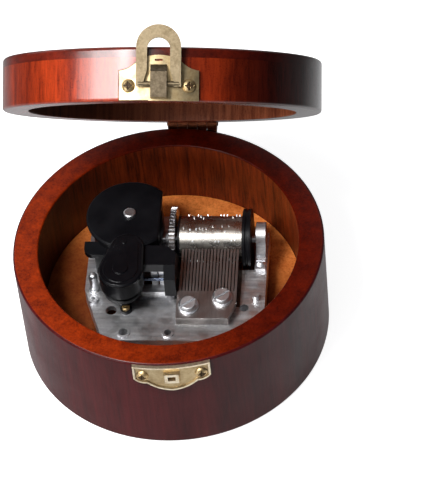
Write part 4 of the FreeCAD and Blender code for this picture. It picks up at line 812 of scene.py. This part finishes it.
@dataclass
class Hinge(Assembly):
    """Antique brass butt hinge with its screws, dark partly as antique brass and partly as painted shade in
    the gap behind the lid.
    """

    knuckle: float = 1.2
    rolled: float = 1.45
    radius: float = 43.0
    lip_sides: tuple[float, float] = (5.25, 7.95)
    lip_back: float = 42.85
    lip_low: float = 32.6
    lip_high: float = 33.72
    lip_seat: float = 0.03
    tolerance: float = 0.02

    def roll(self, bm: bmesh.types.BMesh) -> None:
        """Make the knuckles fuller."""
        for vert in bm.verts:
            away = vert.co - HINGE_AXIS
            away.x = 0.0
            if abs(away.length - self.knuckle * MM) < self.tolerance * MM:
                vert.co += away * (self.rolled / self.knuckle - 1.0)

    def add_lip(self, bm: bmesh.types.BMesh) -> None:
        """Make the knuckles fuller, and add a lip between two of them, where the wall curves away."""
        self.roll(bm)
        left, right = self.lip_sides
        front = [(x, math.sqrt(self.radius ** 2 - x ** 2) + self.lip_seat) for x in (left, right)]
        outline = [*front, (right, self.lip_back), (left, self.lip_back)]
        foot = bm.faces.new([bm.verts.new(Vector((x, y, self.lip_low)) * MM) for x, y in outline])
        raised = bmesh.ops.extrude_face_region(bm, geom=[foot])["geom"]
        top = [item for item in raised if isinstance(item, bmesh.types.BMVert)]
        bmesh.ops.translate(bm, verts=top, vec=Vector((0.0, 0.0, self.lip_high - self.lip_low)) * MM)
        lip = {face for vert in (*foot.verts, *top) for face in vert.link_faces}
        bmesh.ops.recalc_face_normals(bm, faces=list(lip))

    def build(self) -> None:
        """Soften the leaves, the pin and the screws."""
        for node, part, shape in (("hinge_leaf_lower", Part.BOX, self.add_lip),
                                  ("hinge_leaf_upper", Part.LID, self.roll), ("hinge_pin", Part.BOX, None),
                                  ("hinge_screws_lower", Part.BOX, None),
                                  ("hinge_screws_upper", Part.LID, None)):
            self.refine(node, "antique_brass", "antique_brass", 0.08, part, shape=shape)


@dataclass
class Hasp(Assembly):
    """Stamped brass plate, loop and screws on the lid, and the strike plate on the box."""

    radius: float = 43.0
    hasp_front: float = 1.1
    strike_front: float = 0.8
    knob_half: float = 3.0
    knob_front: float = 1.5
    knob_back: float = 0.8
    knob_lift: float = 0.8
    offset: float = 3.8
    border: float = 0.22
    border_front: tuple[float, float] = (0.5, 1.0)
    flat: float = 0.9
    facing_out: float = 0.3
    recess_facing: tuple[float, float] = (0.25, 0.985)

    def tone(self, place: Vector, normal: Vector, front: float) -> int:
        """Number of the finish of a face: 0 the sheet, 1 what stands in front of it, 2 an edge, which gets
        grime and painted shade.

        Args:
            place: middle of the face in metres, in the frame of the closed box.
            normal: its normal in the same frame.
            front: how far the sheet's face stands in front of the wood, in millimetres.

        Returns:
            The number.
        """
        out = Vector((place.x, place.y, 0.0))
        facing = abs(normal.dot(out.normalized()))
        if out.length > (self.radius + front) * MM:
            return 1 if facing > self.facing_out else 0
        return 2 if facing < self.flat else 0

    def mark_shaded_border(self, bm: bmesh.types.BMesh) -> None:
        """Mark a narrow border on the left half of the plate's front, dark as grime and painted shade."""
        bm.normal_update()
        low, high = (self.radius + depth for depth in self.border_front)
        front = []
        for face in bm.faces:
            place, normal = self.shut(face)
            out = Vector((place.x, place.y, 0.0))
            if normal.dot(out.normalized()) > self.flat and low < out.length / MM < high:
                front.append(face)
        ring = bmesh.ops.inset_region(bm, faces=front, thickness=self.border * MM, use_boundary=True,
                                      use_even_offset=True)["faces"]
        for face in ring:
            if face.calc_center_median().x < (self.offset - self.knob_half) * MM:
                face.material_index = 2

    @staticmethod
    def shut(face: bmesh.types.BMFace) -> tuple[Vector, Vector]:
        """Middle and normal that a face of the open lid has when the lid is shut."""
        back = Matrix.Rotation(LID_ANGLE, 3, "X")
        return back @ (face.calc_center_median() - HINGE_AXIS) + HINGE_AXIS, back @ face.normal

    def paint_plate(self, face: bmesh.types.BMFace) -> int:
        """Finish of a face of the plate on the open lid."""
        return 2 if face.material_index == 2 else self.tone(*self.shut(face), self.hasp_front)

    def paint_strike(self, face: bmesh.types.BMFace) -> int:
        """Finish of a face of the strike plate: faces that look up get the brighter brass, a painted
        highlight.
        """
        if face.normal.z > 0.5:
            return 1
        return self.tone(face.calc_center_median(), face.normal, self.strike_front)

    def recess(self, place: Vector, normal: Vector) -> int:
        """Number of the finish of a screw's face: 0 on its domed top, 1 in its slot and round its side, dark
        as grime and painted shade.
        """
        facing = abs(normal.dot(Vector((place.x, place.y, 0.0)).normalized()))
        low, high = self.recess_facing
        return 0 if low <= facing <= high else 1

    def paint_lid_screw(self, face: bmesh.types.BMFace) -> int:
        """Finish of a face of a screw on the lid."""
        return self.recess(*self.shut(face))

    def paint_box_screw(self, face: bmesh.types.BMFace) -> int:
        """Finish of a face of a screw on the box."""
        return self.recess(face.calc_center_median(), face.normal)

    def set_knob(self, bm: bmesh.types.BMesh) -> None:
        """Set the knob of the strike plate a little higher and flatter."""
        for vert in bm.verts:
            out = Vector((vert.co.x, vert.co.y, 0.0))
            raised = out.length > (self.radius + self.knob_front) * MM
            if raised and abs(vert.co.x / MM - self.offset) < self.knob_half:
                vert.co += out.normalized() * (-self.knob_back * MM) + Vector((0.0, 0.0, self.knob_lift * MM))

    def build(self) -> None:
        """Soften the pieces."""
        # The plate's raised strap gets darker brass, partly wear and partly painted shade; its border and
        # edges get grime and painted shade.
        coats = ("brass", "brass_worn_and_shaded", "grime_and_shade")
        self.refine("hasp_plate", coats, "brass", 0.2, Part.LID, paint=self.paint_plate, shape=self.mark_shaded_border)
        # The loop gets a darker copy of the plate's brass, painted shade.
        self.refine("hasp_loop", "brass_loop", "brass", 0.16, Part.LOOP)
        screws = ("brass_screws", "grime_and_shade")
        self.refine("hasp_screws", screws, "brass", 0.06, Part.LID, paint=self.paint_lid_screw)
        # The strike plate's knob, border and up-facing faces get the brighter brass, a painted highlight.
        self.refine("strike_plate", ("brass", "brass_painted_highlight", "grime_and_shade"), "brass", 0.12, Part.BOX,
                    paint=self.paint_strike, shape=self.set_knob)
        self.refine("strike_screws", screws, "brass", 0.06, Part.BOX, paint=self.paint_box_screw)


# ---- movement ------------------------------------------------------------------------------------


@dataclass
class Movement(Assembly):
    """Bedplate, comb and the fixed pieces of the movement."""

    shade_low: tuple[float, float] = (2.4, -11.5)
    shade_high: tuple[float, float] = (19.6, 3.0)
    shade_top: float = 21.0
    pad_bottom: float = 20.2
    pad_reach: float = 0.6
    facing_front: float = -0.6

    def paint_comb(self, face: bmesh.types.BMFace) -> int:
        """Finish of a face of the comb: 1, painted shade, on the cut front edge."""
        return 1 if face.normal.y < self.facing_front else 0

    def cut_shade(self, bm: bmesh.types.BMesh) -> None:
        """Cut the bedplate's faces round the area under the comb, which gets painted shade."""
        cut_area(bm, self.shade_low, self.shade_high)

    def paint_bed(self, face: bmesh.types.BMFace) -> int:
        """Finish of a face of the bedplate: 1, painted shade, under the comb and on the front of its pad."""
        place = face.calc_center_median() / MM
        under = within(place, self.shade_low, self.shade_high) and place.z < self.shade_top
        beside = self.shade_low[0] - self.pad_reach < place.x < self.shade_high[0]
        pad = face.normal.y < self.facing_front and place.z > self.pad_bottom and beside
        return 1 if under or pad else 0

    def build(self) -> None:
        """Soften and finish the fixed pieces."""
        self.refine("bedplate", ("zinc", "dark_metal"), "zinc", 0.2, paint=self.paint_bed,
                    shape=self.cut_shade)
        self.refine("bearing_bracket", "zinc", "zinc", 0.25)
        self.refine("comb", ("comb_steel", "dark_metal"), "steel", 0.04, paint=self.paint_comb)
        for node, width in (("comb_screws", 0.15), ("comb_washers", 0.08), ("bracket_screw", 0.08),
                            ("frame_stud", 0.12)):
            self.refine(node, "bright_steel", "bright_steel", width)
        # The bedplate's screws get dark metal, painted shade in the holes that they sit in.
        self.refine("bedplate_screws", "dark_metal", "bright_steel", 0.1)
        self.refine("governor_screw", "brass_screws", "brass", 0.08)
        self.refine("spring_case", "black_plastic", "black_plastic", 0.25)
        self.refine("governor_frame", "black_plastic", "black_plastic", 0.2)
        self.refine("governor_cover", "black_cover", "black_plastic", 0.22)
        self.dress("idler_axle", "bright_steel")


@dataclass
class Train(Assembly):
    """Everything that turns: cylinder, barrel, key, gears and fan."""

    axis: tuple[float, float] = (11.0, 22.5)
    wheel_root: float = 8.45
    sideways: float = 0.5

    def paint_wheel_shade(self, face: bmesh.types.BMFace) -> int:
        """Finish of a face of the cylinder's wheel: 1 between its teeth, painted shade."""
        _, y, z = face.calc_center_median() / MM
        distance = math.hypot(y - self.axis[0], z - self.axis[1])
        return 1 if abs(face.normal.x) < self.sideways and distance < self.wheel_root else 0

    def build(self) -> None:
        """Soften and finish the turning pieces."""
        for node, finish in (("cylinder_drum", "nickel"), ("cylinder_pins", "bright_steel"),
                             ("mainspring", "spring_steel"), ("governor_arbor", "spring_steel"),
                             ("fan_spindle", "bright_steel")):
            self.dress(node, finish)
        for node, finish, slot, width, part in (
                ("cylinder_shaft", "bright_steel", "bright_steel", 0.08, Part.CYLINDER),
                ("cylinder_collar", "bright_steel", "bright_steel", 0.08, Part.CYLINDER),
                ("cylinder_flange_left", "black_plastic", "black_plastic", 0.08, Part.CYLINDER),
                ("cylinder_flange_right", "black_plastic", "black_plastic", 0.2, Part.CYLINDER),
                ("cylinder_wheel", ("gear_metal", "dark_metal"), "gear_metal", 0.04, Part.CYLINDER),
                ("cylinder_pinion", "gear_metal", "gear_metal", 0.04, Part.CYLINDER),
                ("spring_barrel", "black_plastic", "black_plastic", 0.08, Part.BARREL),
                ("winding_arbor", "bright_steel", "bright_steel", 0.12, Part.KEY),
                ("winding_key", "bright_steel", "key_metal", 0.25, Part.KEY),
                ("idler_pinion", "gear_metal", "gear_metal", 0.03, Part.IDLER),
                ("governor_wheel", "gear_metal", "gear_metal", 0.03, Part.GOVERNOR),
                ("worm_wheel", "black_plastic", "black_plastic", 0.03, Part.GOVERNOR),
                ("fan", "black_plastic", "black_plastic", 0.05, Part.FAN)):
            paint = self.paint_wheel_shade if node == "cylinder_wheel" else None
            self.refine(node, finish, slot, width, part, paint=paint)


# ---- stage ---------------------------------------------------------------------------------------


@dataclass
class Stage:
    """Floor, lights, world and camera."""

    heading: float = 8.25
    elevation: float = 49.15
    roll: float = -6.074
    camera_at: Point = (11.73, -529.73, 610.56)
    rim_height: float = 34.0
    lens: float = 218.08
    sensor: float = 36.0
    lamps_aim: Point = (0.0, 0.0, 50.0)
    floor_radius: float = 3.0
    floor_drop: float = 0.0001

    def camera(self) -> None:
        """Camera at the object's viewing angle."""
        data = bpy.data.cameras.new("camera")
        data.lens = self.lens
        data.sensor_width = self.sensor
        data.sensor_fit = "AUTO"
        data.clip_start = 0.01
        data.clip_end = 20.0
        item = add_object("camera", data)
        lift = math.radians(self.elevation)
        ahead = Vector((0.0, math.cos(lift), -math.sin(lift)))
        right = Vector((1.0, 0.0, 0.0))
        up = right.cross(ahead)
        roll = math.radians(self.roll)
        right, up = (math.cos(roll) * right + math.sin(roll) * up,
                     -math.sin(roll) * right + math.cos(roll) * up)
        turn = Matrix((right, up, -ahead)).transposed().to_4x4()
        place = Vector(self.camera_at) + Vector((0.0, 0.0, self.rim_height))
        item.matrix_world = self.turned(place * MM, turn)
        bpy.context.scene.camera = item

    def turned(self, place: Vector, turn: Matrix) -> Matrix:
        """Matrix of a place and a turn, swung round to the heading of the camera."""
        swing = Matrix.Rotation(math.radians(self.heading), 4, "Z")
        return swing @ Matrix.Translation(place) @ turn

    def lamp(self, name: str, ends: tuple[Point, Point], width: float, radiance: float) -> None:
        """Add one soft rectangular lamp that faces the object.

        Args:
            name: name of the lamp.
            ends: middles of its two short sides, in millimetres.
            width: length of its short sides, in millimetres.
            radiance: how bright its face is, where 1 is white.
        """
        first, last = (Vector(end) * MM for end in ends)
        data = bpy.data.lights.new(name, "AREA")
        data.shape = "RECTANGLE"
        data.size, data.size_y = (last - first).length, width * MM
        data.energy = radiance * math.pi * data.size * data.size_y
        item = add_object(name, data)
        middle = (first + last) / 2
        along = (last - first).normalized()
        away = middle - Vector(self.lamps_aim) * MM
        away = (away - along * away.dot(along)).normalized()
        turn = Matrix((along, away.cross(along), away)).transposed().to_4x4()
        item.matrix_world = self.turned(middle, turn)

    def world(self) -> None:
        """White surroundings behind the object, darker where the camera stands, and soft as a light."""
        world = bpy.data.worlds.new("surroundings")
        bpy.context.scene.world = world
        world.use_nodes = True
        s = Sketch(world.node_tree)
        path = s.add("LightPath")
        seen = s.maths("MAXIMUM", path.outputs["Is Camera Ray"], path.outputs["Is Transmission Ray"])
        turned = s.add("Mapping", {"vector_type": "VECTOR"}, {
            "Vector": s.add("TexCoord").outputs["Generated"],
            "Rotation": (0.0, 0.0, -math.radians(self.heading))}).outputs[0]
        parts = s.add("SeparateXYZ", inputs={0: turned}).outputs
        back = s.ramp(parts["Y"], 0.25, 1.0, 0.03, 1.0, "SMOOTHSTEP")
        side = s.ramp(parts["X"], 0.2, 0.8, 1.0, 0.3, "SMOOTHSTEP")
        shown = s.add("Background", inputs={0: WHITE, 1: 1.0})
        gloss = s.add("Background", inputs={0: WHITE, 1: s.times(back, side)})
        soft = s.add("Background", inputs={0: (0.92, 0.95, 1.0, 1.0), 1: 0.12})
        lower = s.add("MixShader", inputs={0: path.outputs["Is Glossy Ray"], 1: soft.outputs[0],
                                           2: gloss.outputs[0]})
        both = s.add("MixShader", inputs={0: seen, 1: lower.outputs[0], 2: shown.outputs[0]})
        out = s.add("OutputWorld")
        world.node_tree.links.new(both.outputs[0], out.inputs[0])

    def floor(self) -> None:
        """Pale floor that shows white and keeps the object's shadow."""
        bm = bmesh.new()
        bmesh.ops.create_circle(bm, cap_ends=True, segments=96, radius=self.floor_radius)
        mesh = bpy.data.meshes.new("floor")
        bm.to_mesh(mesh)
        bm.free()
        item = add_object("floor", mesh)
        material, s, place = fresh_material("floor")
        path = s.add("LightPath")
        across = s.add("SeparateXYZ", inputs={0: place}).outputs["X"]
        reach = s.add("VectorMath", {"operation": "LENGTH"}, {0: place}).outputs["Value"]
        side = s.ramp(across, -0.02, 0.07, 0.14, 0.6)
        near = s.ramp(reach, 0.07, 0.22, 1.0, 0.08)
        far = s.times(path.outputs["Is Glossy Ray"], s.minus(1.0, near))
        shine = s.times(path.outputs["Is Glossy Ray"], s.times(side, near))
        seen = s.maths("MAXIMUM", path.outputs["Is Camera Ray"], shine)
        paper = s.add("BsdfDiffuse", inputs={0: s.mix(far, (0.45, 0.45, 0.46, 1.0), (0.12, 0.12, 0.12, 1.0))})
        sheet = s.add("BsdfDiffuse", inputs={0: (0.80, 0.80, 0.80, 1.0)})
        white = s.add("Emission", inputs={0: WHITE, 1: 0.88})
        both = s.add("AddShader", inputs={0: sheet.outputs[0], 1: white.outputs[0]})
        mix = s.add("MixShader", inputs={0: seen, 1: paper.outputs[0], 2: both.outputs[0]})
        out = s.add("OutputMaterial")
        material.node_tree.links.new(mix.outputs[0], out.inputs[0])
        mesh.materials.append(material)
        item.matrix_world = Matrix.Translation((0.0, 0.0, -self.floor_drop))

    def build(self) -> None:
        """Set the whole stage."""
        self.camera()
        self.world()
        self.floor()
        self.lamp("window", ((-180.0, -66.0, 232.0), (-80.0, -112.0, 276.0)), 62.0, 18.0)
        self.lamp("window_side", ((-208.0, -44.0, 208.0), (-182.0, -65.0, 231.0)), 62.0, 7.0)
        self.lamp("key", ((-275.0, -190.0, 585.0), (-155.0, -225.0, 612.0)), 125.0, 44.0)
        self.lamp("low", ((-460.0, -330.0, 130.0), (-300.0, -480.0, 130.0)), 150.0, 8.0)
        self.lamp("front", ((-90.0, -470.0, 440.0), (-90.0, -90.0, 650.0)), 200.0, 1.2)
        bpy.context.scene.view_settings.view_transform = "Standard"


def main() -> None:
    """Build the stage and every assembly in order."""
    logging.basicConfig(level=logging.INFO, format="%(message)s")
    Stage().build()
    finishes = Finishes()
    assemblies = [
        WoodenBox(finishes, Part.BOX), Lid(finishes, Part.LID), Hinge(finishes, Part.BOX),
        Hasp(finishes, Part.LID), Movement(finishes, Part.BOX), Train(finishes, Part.CYLINDER),
    ]
    for assembly in assemblies:
        assembly.build()
        assembly.report()


if __name__ == "__main__":
    main()
